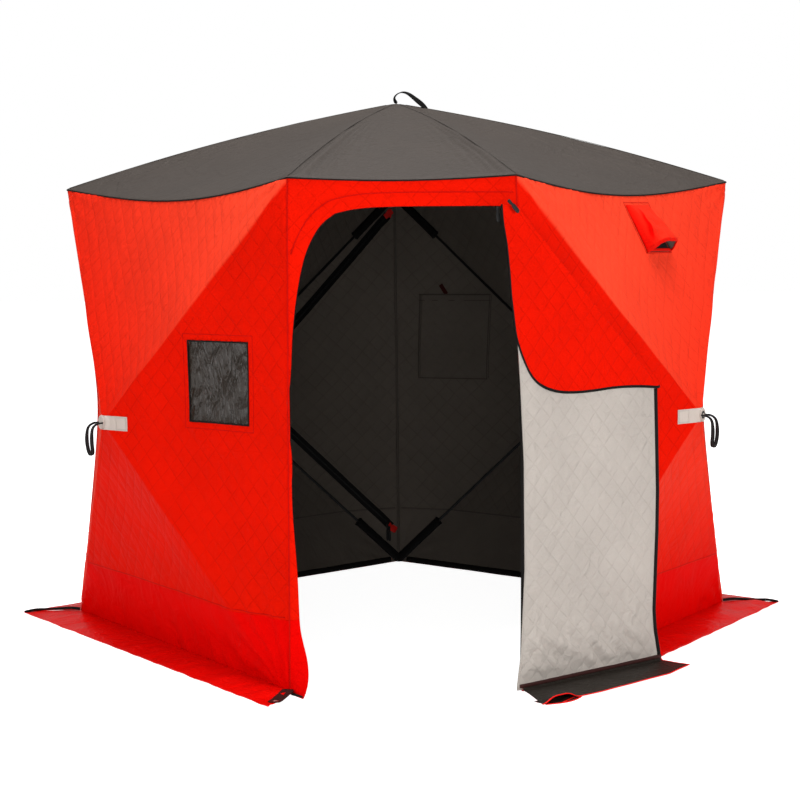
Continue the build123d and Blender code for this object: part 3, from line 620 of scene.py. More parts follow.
def build_wall(wall):
    """A wall from its hub to the ground, its two seams and its eave."""
    share = shares(EDGE_STEPS + 1)[:, None]
    foot = wall.first + (wall.second - wall.first) * share
    edges = [
        foot, seam_points(wall.second), eave_points(wall.first, wall.second)[::-1],
        seam_points(wall.first)[::-1],
    ]
    border = np.vstack([edge[:-1] for edge in edges])
    between = np.concatenate([shares(len(edge))[:-1] for edge in edges])
    reach = np.linspace(0.012, 1, RINGS)[:, None]
    grid = wall.hub + (border - wall.hub)[None] * reach[..., None]
    width = (grid - wall.first) @ wall.along
    height = grid[..., 2]
    spokes = np.linalg.norm(border - wall.hub, axis=1)
    step = np.linalg.norm(np.roll(border, -1, 0) - border, axis=1)
    travelled = np.cumsum(step) - step
    gap = (1 - reach) * spokes
    seed = sum(map(ord, wall.name))
    lift = -GORE_HOLLOW * np.sin(pi * reach) * np.sin(pi * between) ** 1.2
    uneven = 1 + 0.5 * swell(travelled, 0, seed + 1, 0.4)
    pucker = np.sin(2 * pi * travelled / PUCKER_PITCH + 2.2 * swell(travelled, 0, seed, 0.5))
    lift += PUCKER_DEPTH * uneven * pucker * np.exp(-gap / PUCKER_REACH) * clamp(gap / 0.006)
    lift += 0.0022 * swell(width, height, seed + 2, 0.30)
    reach_up = np.linalg.norm(wall.second - wall.first)
    for cx, cz, deep, far, turns, phase in (
        (0, WALL_TOP, 0.0085, 0.18, 22, 0.4), (reach_up, WALL_TOP, 0.0110, 0.20, 20, 1.7),
        (0, 0, 0.0090, 0.22, 20, 2.5), (reach_up, 0, 0.0165, 0.30, 18, 0.9),
    ):
        off_x, off_z = width - cx, height - cz
        away = np.hypot(off_x, off_z)
        fan = np.sin(np.arctan2(off_z, off_x) * turns + phase + 1.5 * swell(away, 0, seed + 9, 0.3))
        fade = np.exp(-away / far) * clamp(away / 0.08) * clamp(gap / 0.02)
        lift += deep * (0.4 + 0.6 * fan) * fade
    loose = 0.0050 * np.exp(-height / 0.16) * clamp(height / 0.02)
    lift += loose * swell(width, height * 0.3, seed + 3, 0.16, spread=0.8)
    grid = grid + lift[..., None] * wall.out
    piece = cloth(
        wall.name + "_wall", grid, (width, height), WALL_FABRIC,
        [red_quilt, dark_lining], wall.out, closed=True,
    )
    # Painted sheen: the top gores, most towards the front and high up, the rear gores of the side
    # walls, the whole right wall more and the low gores a little are turned towards the paler sheen
    # colour, painted light where the lamps catch the cloth at a slant.
    towards_front = width / reach_up
    right_side = 0.35 if wall is RIGHT else 0.0
    top_painted_sheen = 0.9 * towards_front - 0.25 + 0.8 * (height - 1.0) + right_side
    low_painted_sheen = (0.05 + right_side) * clamp((height - 0.25) / 0.35)
    counts = [len(edge) - 1 for edge in edges]
    side_of = np.repeat(np.arange(4), counts)[None]
    beside = np.full_like(width, 0.55), np.zeros_like(width)
    second_side, first_side = beside[::-1] if at_door(wall.second) else beside
    if not at_door(wall.second):
        second_side = first_side
    nap = np.select(
        [side_of == 0, side_of == 1, side_of == 2], [low_painted_sheen, second_side, top_painted_sheen], first_side
    )
    set_painted_sheen(piece, clamp(nap))
    capped(piece, len(border), wall.out)
    return piece


wall_pieces = {wall.name: build_wall(wall) for wall in WALLS}
SIDE_GORES, BACK_GORES = ("rear", "front"), ("inner", "outer")
for wall in WALLS:
    first, second = SIDE_GORES if at_door(wall.second) else BACK_GORES
    gores = "top", first, second, "bottom"
    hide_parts(*[f"{wall.name}_{gore}_gore" for gore in gores])
    width = np.linalg.norm(wall.second - wall.first)


# Window. A clear vinyl pane in the left wall, held in a black binding, with a line of
# stitching round it where the blackout flap inside is sewn on.
WINDOW_RISE, WINDOW_FROM_SEAM = 0.029, 0.194
WINDOW_WIDTH, WINDOW_HEIGHT = 0.296, 0.270
PANE_BORDER, PANE_THICKNESS, PANE_MARGIN = 0.014, 0.0008, 0.03
CUT_REACH = 0.35


def surface_of(piece):
    """The outer skin of a piece, for laying other pieces on."""
    corners = [v.co[:] for v in piece.data.vertices]
    return BVHTree.FromPolygons(corners, [p.vertices[:] for p in piece.data.polygons])


SKINS = {wall.name: surface_of(wall_pieces[wall.name]) for wall in WALLS}


def laid(wall, points, lift):
    """Points moved along a wall's outside direction on to its skin, and lifted off it."""
    out = Vector(wall.out)
    found = []
    for point in np.asarray(points).reshape(-1, 3):
        hit = SKINS[wall.name].ray_cast(Vector(point) + out * 0.4, -out)[0]
        found.append(np.array(hit if hit is not None else Vector(point)) + wall.out * lift)
    return np.array(found).reshape(np.shape(points))


def run_of(*corners, spacing=0.012, close=False):
    """Points spaced along straight runs between corners."""
    corners = [np.asarray(c, float) for c in corners]
    corners += corners[:1] if close else []
    points = [corners[0][None]]
    for a, b in zip(corners, corners[1:]):
        count = max(1, int(np.linalg.norm(b - a) / spacing))
        points.append(a + (b - a) * shares(count + 1)[1:, None])
    return np.vstack(points)


def rounded(points, times=3):
    """A run of points with its corners cut off a few times over."""
    points = np.asarray(points, float)
    for _ in range(times):
        near = points[:-1] * 0.75 + points[1:] * 0.25
        far = points[:-1] * 0.25 + points[1:] * 0.75
        pairs = np.stack([near, far], 1).reshape(-1, points.shape[1])
        points = np.vstack([points[:1], pairs, points[-1:]])
    return points


class Opening:
    """A window's rectangle on a wall, set out from a seam point at a height."""

    def __init__(self, wall, foot, other, from_seam, width, height):
        normal = unit(np.cross(foot - wall.hub, other - wall.hub))
        normal = normal if normal @ wall.out > 0 else -normal
        across = unit(np.cross(UP, normal))
        across = across if across @ (wall.hub - foot) > 0 else -across
        rise = np.cross(normal, across)
        self.rise = rise if rise[2] > 0 else -rise
        self.wall, self.across, self.normal = wall, across, normal
        self.start, self.width, self.height = foot + across * from_seam, width, height

    def at(self, x, z):
        """A point of the rectangle's plane."""
        return self.start + self.across * x + self.rise * z

    def corners(self, border):
        """Its corners, grown by a border."""
        wide, tall = self.width + border, self.height + border
        places = (-border, -border), (wide, -border), (wide, tall), (-border, tall)
        return [self.at(x, z) for x, z in places]

    def trim(self, name, border, lift, width, thickness, finish, sides=12):
        """A strip sewn round it on the wall's skin, outside it by a border."""
        line = laid(self.wall, run_of(*self.corners(border), close=True), lift)
        band(name, line, self.normal, width, thickness, finish, sides=sides)

    def inside(self, face):
        """Whether the middle of a face of the wall lies in the rectangle."""
        offset = np.array(face.calc_center_median()) - self.start
        return 0 < offset @ self.across < self.width and 0 < offset @ self.rise < self.height

    def cut(self, piece):
        """Cuts the rectangle out of a wall's skin."""
        work = bmesh.new()
        work.from_mesh(piece.data)
        centre = Vector(self.at(self.width / 2, self.height / 2))

        def near():
            return [f for f in work.faces if (f.calc_center_median() - centre).length < CUT_REACH]

        for point, way in (
            (self.at(0, 0), -self.across), (self.at(self.width, 0), self.across),
            (self.at(0, 0), -self.rise), (self.at(0, self.height), self.rise),
        ):
            faces = near()
            rims = {v for f in faces for v in f.verts} | {e for f in faces for e in f.edges}
            bmesh.ops.bisect_plane(work, geom=[*rims, *faces], plane_co=point, plane_no=way)
        bmesh.ops.delete(work, geom=[f for f in near() if self.inside(f)], context="FACES")
        work.to_mesh(piece.data)
        work.free()


def clear_vinyl(name, painted_shade_tint, roughness, fold):
    """A material of creased window vinyl, partly clear; its dark base colour is painted shade of
    the dark inside seen through it.
    """
    material, tree, shader = new_finish(name)
    place = node(tree, "UVMap", uv_map="cut").outputs[0]
    haze = noise_of(tree, place, 9.0, 5.0)
    streaked = node(tree, "VectorMath", operation="MULTIPLY")
    tree.links.new(place, streaked.inputs[0])
    streaked.inputs[1].default_value = (1.9, 0.55, 1.0)
    folds = placed(tree, CREASES, Place=streaked.outputs[0], Scale=8.0)["Height"]
    fine = placed(tree, CREASES, Place=streaked.outputs[0], Scale=19.0)["Height"]
    dress(
        tree, shader, blend_of(tree, haze, [c * 0.9 for c in painted_shade_tint], painted_shade_tint),
        ramp(tree, haze, 0.3, 0.8, roughness, roughness + 0.12),
        relief(tree, (folds, fold), (fine, fold / 3)), shine=0.16, clear=0.30, bend=1.45,
    )
    return material


# The pane's dark, warm colour is painted shade of the hut's inside; only a little light passes
# through it.
window_vinyl = clear_vinyl("window_vinyl", (0.034, 0.025, 0.019), 0.17, 0.0055)
black_binding = woven(
    "black_binding", (0.008, 0.0072, 0.0068), 0.68, thread=0.0012, shine=0.03
)
red_thread = woven("red_thread", (0.45, 0.0028, 0.001), 0.70, fold=0.0, shine=0.04)
red_piping = woven("red_piping", (0.56, 0.004, 0.0005), 0.65, fold=0.0, shine=0.04)


def seam_foot(corner, height):
    """The point of the CAD's straight seam above a corner at a height."""
    half = HUB_HEIGHT
    waist = corner + UP * half + (0 if at_door(corner) else inward(corner) * SEAM_PINCH)
    head = eave(corner, WALL_TOP)
    if at_door(corner):
        return corner + (head - corner) * (height / WALL_TOP)
    return waist + (head - waist) * ((height - half) / (WALL_TOP - half))


window = Opening(
    LEFT, seam_foot(FRONT_LEFT, HUB_HEIGHT + WINDOW_RISE), eave(FRONT_LEFT, WALL_TOP),
    WINDOW_FROM_SEAM, WINDOW_WIDTH, WINDOW_HEIGHT,
)


def net(columns, rows):
    """A row of places across and a column of places up, both filled out to a full grid."""
    return np.broadcast_arrays(np.asarray(columns)[None, :], np.asarray(rows)[:, None])


def pane(name, opening, border, lift, depth, seed, finish, thickness, replaced):
    """A creased sheet behind an opening, laid to the wall's skin."""
    wide, tall = opening.width + border, opening.height + border
    x, z = net(np.linspace(-border, wide, 60), np.linspace(-border, tall, 60))
    flat = opening.start + x[..., None] * opening.across + z[..., None] * opening.rise
    edge = np.minimum.reduce([x + border, wide - x, z + border, tall - z])
    slack = clamp(edge / 0.06)
    ridge = 1 - np.abs(swell(x, z, seed, 0.13)) * 2
    small = depth / 3 * swell(x, z, seed + 5, 0.035) * slack
    raised = lift + depth * slack * (ridge - 1) + small
    grid = laid(opening.wall, flat, 0) + opening.normal * raised[..., None]
    piece = cloth(name, grid, (x, z), thickness, [finish], opening.wall.out)
    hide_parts(replaced)


pane(
    "left_window_pane", window, PANE_BORDER, -0.0022, 0.0035, 4, window_vinyl, PANE_THICKNESS,
    "left_window",
)
window.trim("left_window_binding", 0.001, 0.0005, 0.0052, 0.004, black_binding)
window.trim("left_window_stitching", 0.024, 0.0002, 0.0026, 0.0014, red_thread, sides=6)
window.cut(wall_pieces["left"])

# Back window. The same pane in the back right wall, closed inside by a blackout flap
# with a doubled head, a red pull tab and a hook-and-loop edge.
BACK_WINDOW_RISE, BACK_WINDOW_FROM_SEAM = 0.022, 0.127
BACK_WINDOW_WIDTH, BACK_WINDOW_HEIGHT = 0.300, 0.340
FLAP_BORDER = 0.016
back_window = Opening(
    BACK_RIGHT, seam_foot(BACK, HUB_HEIGHT + BACK_WINDOW_RISE), eave(BACK, WALL_TOP),
    BACK_WINDOW_FROM_SEAM, BACK_WINDOW_WIDTH, BACK_WINDOW_HEIGHT,
)
pane(
    "back_window_pane", back_window, PANE_BORDER, -WALL_FABRIC - 0.001, 0.004, 9, window_vinyl,
    PANE_THICKNESS, "back_right_window",
)
dark_tape = woven("dark_tape", (0.100, 0.085, 0.072), 0.72, shine=0.05)
hem_thread = woven("hem_thread", (0.078, 0.066, 0.056), 0.72, shine=0.05)
maroon_webbing = woven("maroon_webbing", (0.045, 0.0075, 0.0065), 0.68, shine=0.04)
FLAP_COLOUR = (0.150, 0.128, 0.108)
flap_cloth = quilted(
    "flap_cloth", FLAP_COLOUR, FLAP_COLOUR, 0.0014, 0.0016, 0.8, 0.1,
    plain_below=-1.0, shine=0.04,
)
pane(
    "back_window_flap", back_window, FLAP_BORDER, -WALL_FABRIC - 0.009, 0.002, 12, flap_cloth,
    0.0025, "back_right_window_cover",
)
back_window.trim("back_window_binding", 0.001, 0.0005, 0.010, 0.004, black_binding)
flap_left, flap_right = -FLAP_BORDER, BACK_WINDOW_WIDTH + FLAP_BORDER
flap_foot, flap_head = -FLAP_BORDER, BACK_WINDOW_HEIGHT + FLAP_BORDER
around_flap = [
    (flap_left, flap_head), (flap_left, flap_foot), (flap_right, flap_foot),
    (flap_right, flap_head),
]
HEM_OVERHANG, HEM_DROP = 0.004, 0.026
head_left, head_right = flap_left - HEM_OVERHANG, flap_right + HEM_OVERHANG
head_line = [(head_left, flap_head), (head_right, flap_head)]
fold_line = [(head_left, flap_head - HEM_DROP), (head_right, flap_head - HEM_DROP)]
for name, corners, behind, width, finish in (
    ("head_0", head_line, 0.0125, 0.0065, hem_thread),
    ("head_1", fold_line, 0.0125, 0.0035, hem_thread),
    ("edge", around_flap, 0.012, 0.0045, hem_thread),
    ("tab", [(0.075, flap_head + 0.044), (0.105, flap_head + 0.002)], 0.004, 0.018, maroon_webbing),
):
    line = laid(BACK_RIGHT, run_of(*[back_window.at(*c) for c in corners]), -WALL_FABRIC - behind)
    band("back_flap_" + name, line, back_window.normal, width, 0.003, finish)
back_window.cut(wall_pieces["back_right"])

# Front wall. One quilted panel with the doorway cut in it, a wide stitched facing round
# the opening, and a narrow left jamb whose foot stands loose and curls forward.
FRONT_FABRIC = 0.005
FRONT_SAG = 0.013
FRONT_Y = FRONT_LEFT[1]
FORWARD = (0, -1, 0)
LEFT_SIDE = [
    (-0.340, 0.0), (-0.329, 0.022), (-0.323, 0.050), (-0.322, 0.080), (-0.326, 0.120),
    (-0.337, 0.165), (-0.348, 0.220), (-0.350, 0.300), (-0.352, 0.370), (-0.359, 0.480),
    (-0.367, 0.610), (-0.367, 0.740), (-0.372, 0.860), (-0.3745, 0.950), (-0.368, 1.040),
    (-0.358, 1.180), (-0.342, 1.300), (-0.321, 1.404), (-0.297, 1.467), (-0.262, 1.525),
    (-0.215, 1.558),
]
HEAD = [
    (-0.215, 1.558), (-0.15, 1.573), (-0.05, 1.578), (0.1, 1.578), (0.25, 1.577), (0.361, 1.575),
]
RIGHT_SIDE = [
    (0.361, 1.575), (0.3655, 1.50), (0.372, 1.30), (0.378, 1.0), (0.380, 0.75), (0.380, 0.45),
    (0.377, 0.20), (0.372, 0.0),
]
FACING_WIDTH = 0.045


def along_run(points, shares):
    """Points at shares of the length of a run."""
    travelled = np.concatenate([[0], np.cumsum(np.linalg.norm(np.diff(points, axis=0), axis=1))])
    wanted = np.asarray(shares) * travelled[-1]
    return np.stack(
        [np.interp(wanted, travelled, points[:, i]) for i in range(points.shape[1])], -1
    )


def doorway_edge(inset=0.0):
    """The doorway's edge in three runs, up the left side, across and down the right,
    moved away from the opening by an inset."""
    runs = []
    for side in (LEFT_SIDE, HEAD, RIGHT_SIDE):
        runs.append(along_run(rounded(np.array(side), 2), shares(91)))
    whole = np.vstack([runs[0], runs[1][1:], runs[2][1:]])
    step = units(np.gradient(whole, axis=0))
    return whole + np.stack([-step[:, 1], step[:, 0]], -1) * inset


def at_front(plan, behind):
    """Points across and up the doorway's plane, at a depth behind its face."""
    return np.stack([plan[..., 0], np.full(plan.shape[:-1], FRONT_Y + behind), plan[..., 1]], -1)


outline = [
    along_run(seam_points(FRONT_LEFT), shares(91)),
    eave_points(FRONT_LEFT, FRONT_RIGHT, WALL_TOP, 90, FRONT_SAG, 0.0),
    along_run(seam_points(FRONT_RIGHT), shares(91))[::-1],
]
outer = np.vstack([outline[0], outline[1][1:], outline[2][1:]])
share = shares(26)[:, None, None]
grid = at_front(doorway_edge(), 0.0)[None] * (1 - share) + outer[None] * share
x, z = grid[..., 0], grid[..., 2]
grid[..., 1] += 0.0016 * swell(x, z, 31, 0.22) * clamp(share[..., 0] * (1 - share[..., 0]) * 8)
left_foot = np.exp(-z / 0.045) * (x < 0) * (1 - share[..., 0])
grid[..., 1] -= 0.078 * left_foot
grid[..., 2] += 0.003 * left_foot
front_wall = cloth(
    "front_wall", grid, (x, z), FRONT_FABRIC, [red_quilt, dark_lining], FORWARD
)
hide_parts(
    "front_header", "front_left_jamb", "front_right_jamb", "front_opening_corner"
)
foot_edge = grid[::-1, 0][3:] + np.array((0.0, -0.0022, 0.0050))
width = np.linspace(0.0105, 0.0060, len(foot_edge))
band("left_jamb_foot_binding", foot_edge, FORWARD, width, 0.0028, black_binding)
stitch_line = doorway_edge(FACING_WIDTH)
half_width = np.interp(stitch_line[:, 1], [0, WALL_TOP], [-FRONT_LEFT[0], FRONT_EAVE]) - 0.008
stitch_line = stitch_line[(np.abs(stitch_line[:, 0]) < half_width) & (stitch_line[:, 1] > 1.2)]
band(
    "doorway_stitching", at_front(stitch_line, -0.0024), FORWARD, 0.0032, 0.0018, red_thread,
    sides=6,
)
tape = at_front(doorway_edge(0.004), 0.006)[30:178] + (0.003, 0.014, 0)
band("doorway_zip_tape", tape, FORWARD, 0.009, 0.003, black_binding)

# Seams. Each corner seam is a felled edge with a red piping over it; inside it is bound
# in black tape, and a black hem runs round the foot.
CORNERS = {
    "front_left": FRONT_LEFT, "front_right": FRONT_RIGHT, "side_left": SIDE_LEFT,
    "side_right": SIDE_RIGHT, "back": BACK,
}
for name, corner in CORNERS.items():
    line = seam_points(corner)
    out = -inward(corner)
    width, finish = (0.0042, red_thread) if at_door(corner) else (0.0050, red_piping)
    band(name + "_seam_piping", line + out * 0.0006, out, width, 0.0030, finish, sides=8)
    if not at_door(corner):
        band(name + "_seam_tape", line - out * 0.013, out, 0.011, 0.004, dark_tape, sides=8)
for wall in WALLS:
    line = run_of(wall.first + UP * 0.016, wall.second + UP * 0.016, spacing=0.03)
    line = line - wall.out * 0.0085
    lean = unit(wall.out + UP * -HUB_PUSH / HUB_HEIGHT)
    band(wall.name + "_foot_hem", line[2:-2], lean, 0.024, 0.003, black_binding, sides=8)
    ends = []
    for seam in (seam_points(wall.first), seam_points(wall.second)):
        ends.append([np.interp(BAND_HEIGHT, seam[:, 2], seam[:, i]) for i in range(3)])
    level_line = run_of(*ends, spacing=0.02)[1:-1]
    for name, lift, wide, finish in (
        ("level_seam", 0.0006, 0.0036, red_thread),
        ("level_tape", -WALL_FABRIC - 0.0008, 0.0060, dark_tape),
    ):
        band(
            f"{wall.name}_{name}", laid(wall, level_line, lift), wall.out, wide, 0.0018, finish,
            sides=8,
        )

# Roof. Five gores of thin coated polyester in one cover, drawn over the crossed poles and
# sewn to the walls with a black binding round the eaves. It puckers at its five corners.
RIDGE_ARCH, ROOF_HOLLOW = 0.026, 0.020
ROOF_STEPS, ROOF_RINGS = 90, 60
ROOF_TOP, ROOF_EDGE = high("roof_front_gore")[2], WALL_TOP + ROOF_FABRIC * 0.6
APEX = MIDDLE + UP * ROOF_TOP
ROOF_COLOUR = (0.055, 0.0455, 0.0395)
roof_cloth = quilted(
    "roof_cloth", ROOF_COLOUR, ROOF_COLOUR, 0.0, 0.0022,
    0.62, 0.0, plain_below=-9.0, shine=0.10,
)
borders, between = [], []
for first, second in zip(RING, RING[1:] + RING[:1]):
    front = at_door(first) and at_door(second)
    sag, tuck = (FRONT_SAG, 0.0) if front else (EAVE_SAG, EAVE_TUCK)
    borders.append(eave_points(first, second, ROOF_EDGE, ROOF_STEPS, sag, tuck)[:-1])
    between.append(shares(ROOF_STEPS + 1)[:-1])
border, between = np.vstack(borders), np.concatenate(between)
reach = np.linspace(0.012, 1, ROOF_RINGS)[:, None]
grid = APEX + (border - APEX)[None] * reach[..., None]
corner_near = np.exp(-np.minimum(between, 1 - between) / 0.12)
lift = RIDGE_ARCH * np.sin(pi * reach) ** 0.9
lift = lift - ROOF_HOLLOW * np.sin(pi * between) * np.sin(pi * reach)
fan = np.sin(2 * pi * between * 17 + 3 * swell(between * 5, 0, 3, 1.0))
corner_near = corner_near * (1 - np.exp(-np.minimum(between, 1 - between) / 0.012))
fade = clamp((reach - 0.30) / 0.45) * clamp((1 - reach) / 0.03)
lift += 0.0085 * fan * corner_near * fade
lift += 0.0022 * swell(grid[..., 0], grid[..., 1], 41, 0.28) * np.sin(pi * reach)
grid[..., 2] += lift
hanging = border[None] + np.array((0, 0, -1.0)) * np.array((0.002, 0.0045))[:, None, None]
outwards = units((border - MIDDLE) * (1, 1, 0))
hanging = hanging + outwards[None] * 0.0030
grid = np.concatenate([grid, hanging])
roof = cloth(
    "roof_cover", grid, (grid[..., 0], grid[..., 1]), 0.0018, [roof_cloth, dark_lining], UP,
    closed=True,
)
capped(roof, len(border), UP)
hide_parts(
    *[f"roof_{gore}_gore" for gore in ("left", "right", "front", "back_left", "back_right")]
)
all_round = np.vstack([outwards, outwards[:1]])
closed_border = np.vstack([border, border[:1]]) + all_round * 0.0036 - UP * 0.0050
band("eave_binding", closed_border, all_round, 0.0045, 0.0024, black_binding, sides=8)
roof_seam = woven("roof_seam", (0.043, 0.036, 0.031), 0.65)
for name, corner in CORNERS.items():
    ridge_share = np.linspace(0.03, 0.995, 60)[:, None]
    end = eave(corner, ROOF_EDGE)
    line = APEX + (end - APEX) * ridge_share
    line[:, 2] += RIDGE_ARCH * np.sin(pi * ridge_share[:, 0]) ** 0.9 + 0.0003
    band(name + "_ridge_seam", line, UP, 0.0045, 0.0018, roof_seam, sides=8)


# Snow skirts. Strips of coated polyester sewn along the foot of each hubbed wall and laid
# out on the ice to be weighted with snow, with a bound end where two of them meet.
SKIRT_WIDTH, SKIRT_FABRIC = 0.185, 0.0015
FRONT_CORNER_SLANT = np.array((-0.335, -1.074, 0.0))
skirt_cloth = woven(
    "skirt_cloth", (0.72, 0.0018, 0.0003), 0.36, fold=0.0012, unevenness=0.08,
    shine=0.12,
)
eyelet = (low("anchor_grommet") + high("anchor_grommet")) / 2


def mitred(wall, corner):
    """The slanting direction of a skirt's end at a corner, one metre out from the wall."""
    return wall.out + wall.along * ((wall.along @ inward(corner)) / (wall.out @ inward(corner)))


hinge = next(j for j in frame["joints"] if j["name"] == "door_hinge")
HINGE = np.array(hinge["pos_m"] if "pos_m" in hinge else hinge["pos"], float)
HINGE[2] = 0
open_angle = radians(-min(hinge["range_deg"]) - 180)
across = np.array((cos(open_angle), sin(open_angle), 0.0))
facing = np.cross(across, UP)
for wall in WALLS:
    share = shares(161)[:, None]
    width = shares(21)[None, :]
    line = wall.first + (wall.second - wall.first) * share
    ends = [
        FRONT_CORNER_SLANT if wall is LEFT and corner is FRONT_LEFT else mitred(wall, corner)
        for corner in (wall.first, wall.second)
    ]
    slant = ends[0] * (1 - share) + ends[1] * share
    grid = line[:, None] + slant[:, None] * (0.001 + (SKIRT_WIDTH - 0.001) * width[..., None])
    along = (grid - wall.first) @ wall.along
    spread = np.broadcast_to(width * SKIRT_WIDTH, along.shape)
    seed = sum(map(ord, wall.name)) + 3
    ripple = billow(along, spread * 0.7, seed, 0.24, spread=0.7)
    small = billow(along, spread * 1.5, seed + 1, 0.11, spread=0.8)
    arch = np.sin(pi * clamp(width * 0.9))
    rise = 0.0135 * (1 - width) ** 1.6 + 0.0110 * ripple * arch + 0.0060 * small * arch
    by_tab = np.exp(-((np.hypot(grid[..., 0] - eyelet[0], grid[..., 1] - eyelet[1]) / 0.060) ** 4))
    under_door = clamp(((grid - HINGE) @ facing + 0.02) / 0.03)
    under_door = under_door * clamp(((grid - HINGE) @ across + 0.13) / 0.03) * (wall is RIGHT)
    grid[..., 2] = 0.0021 + (0.0009 + rise) * (1 - by_tab) * (1 - 0.85 * under_door)
    skirt = cloth(
        wall.name + "_snow_skirt", grid, (along, spread), SKIRT_FABRIC, [skirt_cloth],
        UP,
    )
    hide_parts(wall.name + "_skirt")
    band(
        wall.name + "_skirt_hem", grid[:, -1] + UP * 0.0002, UP, 0.006, 0.0030, skirt_cloth, sides=8
    )
for name, wall, corner in (
    ("left", LEFT, SIDE_LEFT), ("right", RIGHT, SIDE_RIGHT), ("back", BACK_LEFT, BACK),
):
    share = np.linspace(0.03, 1, 40)
    line = corner + mitred(wall, corner) * (SKIRT_WIDTH * share)[:, None]
    line[:, 2] = 0.0075 + 0.0080 * np.sin(pi * share) + 0.0035 * np.sin(share * 9.0)
    line[:, 2] += 0.014 * (1 - share) ** 1.5
    line += wall.along * (0.012 * np.sin(share * 7.5 + 0.6))[:, None]
    band(name + "_skirt_join", line, UP, 0.015, 0.0095, black_binding)

# Door. A quilted panel folded back beside the right wall with its pale lining outwards,
# its top corner turned down over it. Black binding edges the free side, foot and corner.
HINGE_FORWARD, DOOR_FABRIC, DOOR_GAP = 0.018, 0.005, 0.003
door_depth = facing[0] * (HINGE_FORWARD + DOOR_FABRIC)
DOOR_WIDTH = (high("door_panel")[0] - HINGE[0] - door_depth) / across[0]
DOOR_FOOT, DOOR_HEAD = low("door_panel")[2], high("door_panel")[2]
FOLD_HEIGHT, TURN_LIFT = 0.957, 0.0102


def on_door(u, z, n):
    """A point of the door from its distance from the hinge, height and lift off its back."""
    u, z, n = np.broadcast_arrays(np.asarray(u, float), z, n)
    base = HINGE + facing * HINGE_FORWARD
    return base + u[..., None] * across + z[..., None] * UP + n[..., None] * facing


def edging(name, u, z, lift, width, thickness, finish, **settings):
    """A strip of binding that turns with the door, at places across and up it."""
    band(name, on_door(u, z, lift), facing, width, thickness, finish, body="door", **settings)


LINING_COLOUR = (0.415, 0.374, 0.338)
door_lining = quilted(
    "door_lining", LINING_COLOUR, LINING_COLOUR, 0.0026, 0.0030, 0.75,
    0.10, plain_below=0.0, shine=0.08,
)


def hinge_side(z):
    """How far the panel's near edge stands from the hinge at a height, as it hangs bowed."""
    heights = [0.02, 0.06, 0.12, 0.4, 0.75, 1.0, 1.15]
    return DOOR_GAP + np.interp(z, heights, [-0.016, -0.009, 0.003, 0.0246, 0.0246, 0.0110, 0])


def free_side(z):
    """The panel's far edge, which hangs a little slack between its corners."""
    heights = [0.04, 0.12, 0.19, 0.33, 0.46, 0.60, 0.80, 0.94]
    return DOOR_WIDTH - np.interp(z, heights, [0, 0.018, 0.024, 0.016, 0.008, 0.004, 0.008, 0.012])


share_u, share_z = net(shares(111), shares(171))
top_edge = DOOR_HEAD + (FOLD_HEIGHT - DOOR_HEAD) * share_u
z = DOOR_FOOT + (top_edge - DOOR_FOOT) * share_z
u = hinge_side(z) + (free_side(z) - hinge_side(z)) * share_u
inner_part = clamp(np.minimum(u - hinge_side(z), free_side(z) - 0.016 - u) / 0.06)
lift = 0.0030 * billow(u, z, 51, 0.22) * inner_part
foot_part = np.exp(-((z - 0.11) / 0.10) ** 2) * clamp((z - DOOR_FOOT - 0.006) / 0.05)
for depth, stretch, seed, length, turn, spread in (
    (0.0190 * foot_part, 1.2, 52, 0.080, 48, 1.0), (0.0060 * foot_part, 1.0, 54, 0.040, 25, 1.2),
    (0.0016, 1.0, 53, 0.085, 40, 1.6),
):
    lift += depth * billow(u * stretch, z, seed, length, radians(turn), spread) * inner_part
grid = on_door(u, z, DOOR_FABRIC + lift)
panel = cloth(
    "door_quilt", grid, (u, z), DOOR_FABRIC, [door_lining, red_quilt], facing, body="door"
)
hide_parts("door_panel")

FLAP_EDGE = [
    (-0.072, 1.583), (-0.068, 1.540), (-0.060, 1.500), (-0.048, 1.437), (-0.040, 1.374),
    (-0.034, 1.310), (-0.026, 1.247), (-0.016, 1.184), (0.000, 1.130), (0.030, 1.072),
    (0.062, 1.022), (0.110, 0.990), (0.180, 0.970), (0.255, 0.964), (0.340, 0.964), (0.460, 0.970),
    (0.580, 0.967), (0.684, 0.957),
]
edge = along_run(rounded(np.array(FLAP_EDGE), 2), np.linspace(0.002, 0.998, 161))
fold_line = np.array([(DOOR_GAP, DOOR_HEAD), (DOOR_WIDTH, FOLD_HEIGHT)])
fold = along_run(fold_line, np.linspace(0.002, 0.998, 161) ** 1.25)
down = shares(61)[:, None, None] ** 1.5
flat = fold[None] * (1 - down) + edge[None] * down
width = np.linalg.norm(edge - fold, axis=1)[None, :] * down[..., 0]
crown = 0.0055 * np.exp(-width / 0.035)
wrap = clamp(width / 0.010)
lift = TURN_LIFT + crown
lift = lift + 0.0022 * swell(flat[..., 0], flat[..., 1], 61, 0.16) * clamp(width / 0.05)
lift = -0.001 + (lift + 0.001) * np.sin(pi / 2 * wrap)
fold_way = unit(fold[-1] - fold[0])
bulge = np.array((-fold_way[1], fold_way[0])) * 0.006
flat = flat + (np.sin(pi * wrap) * 0.5 + (1 - wrap) * 0.3)[..., None] * bulge
grid = on_door(flat[..., 0], flat[..., 1], lift)
turned = cloth(
    "door_turned_quilt", grid, (flat[..., 0], flat[..., 1]), 0.0035, [red_quilt, door_lining],
    facing, body="door",
)
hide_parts("door_turned_corner")
rim_width = np.interp(shares(len(edge)), [0, 0.42, 0.55, 1], [0.0050, 0.0055, 0.0095, 0.0095])
edging(
    "door_corner_binding", flat[-1, :, 0], flat[-1, :, 1], lift[-1] - 0.0018, rim_width, 0.0058,
    black_binding,
)
line = np.linspace(DOOR_HEAD - 0.01, DOOR_FOOT + 0.006, 101)
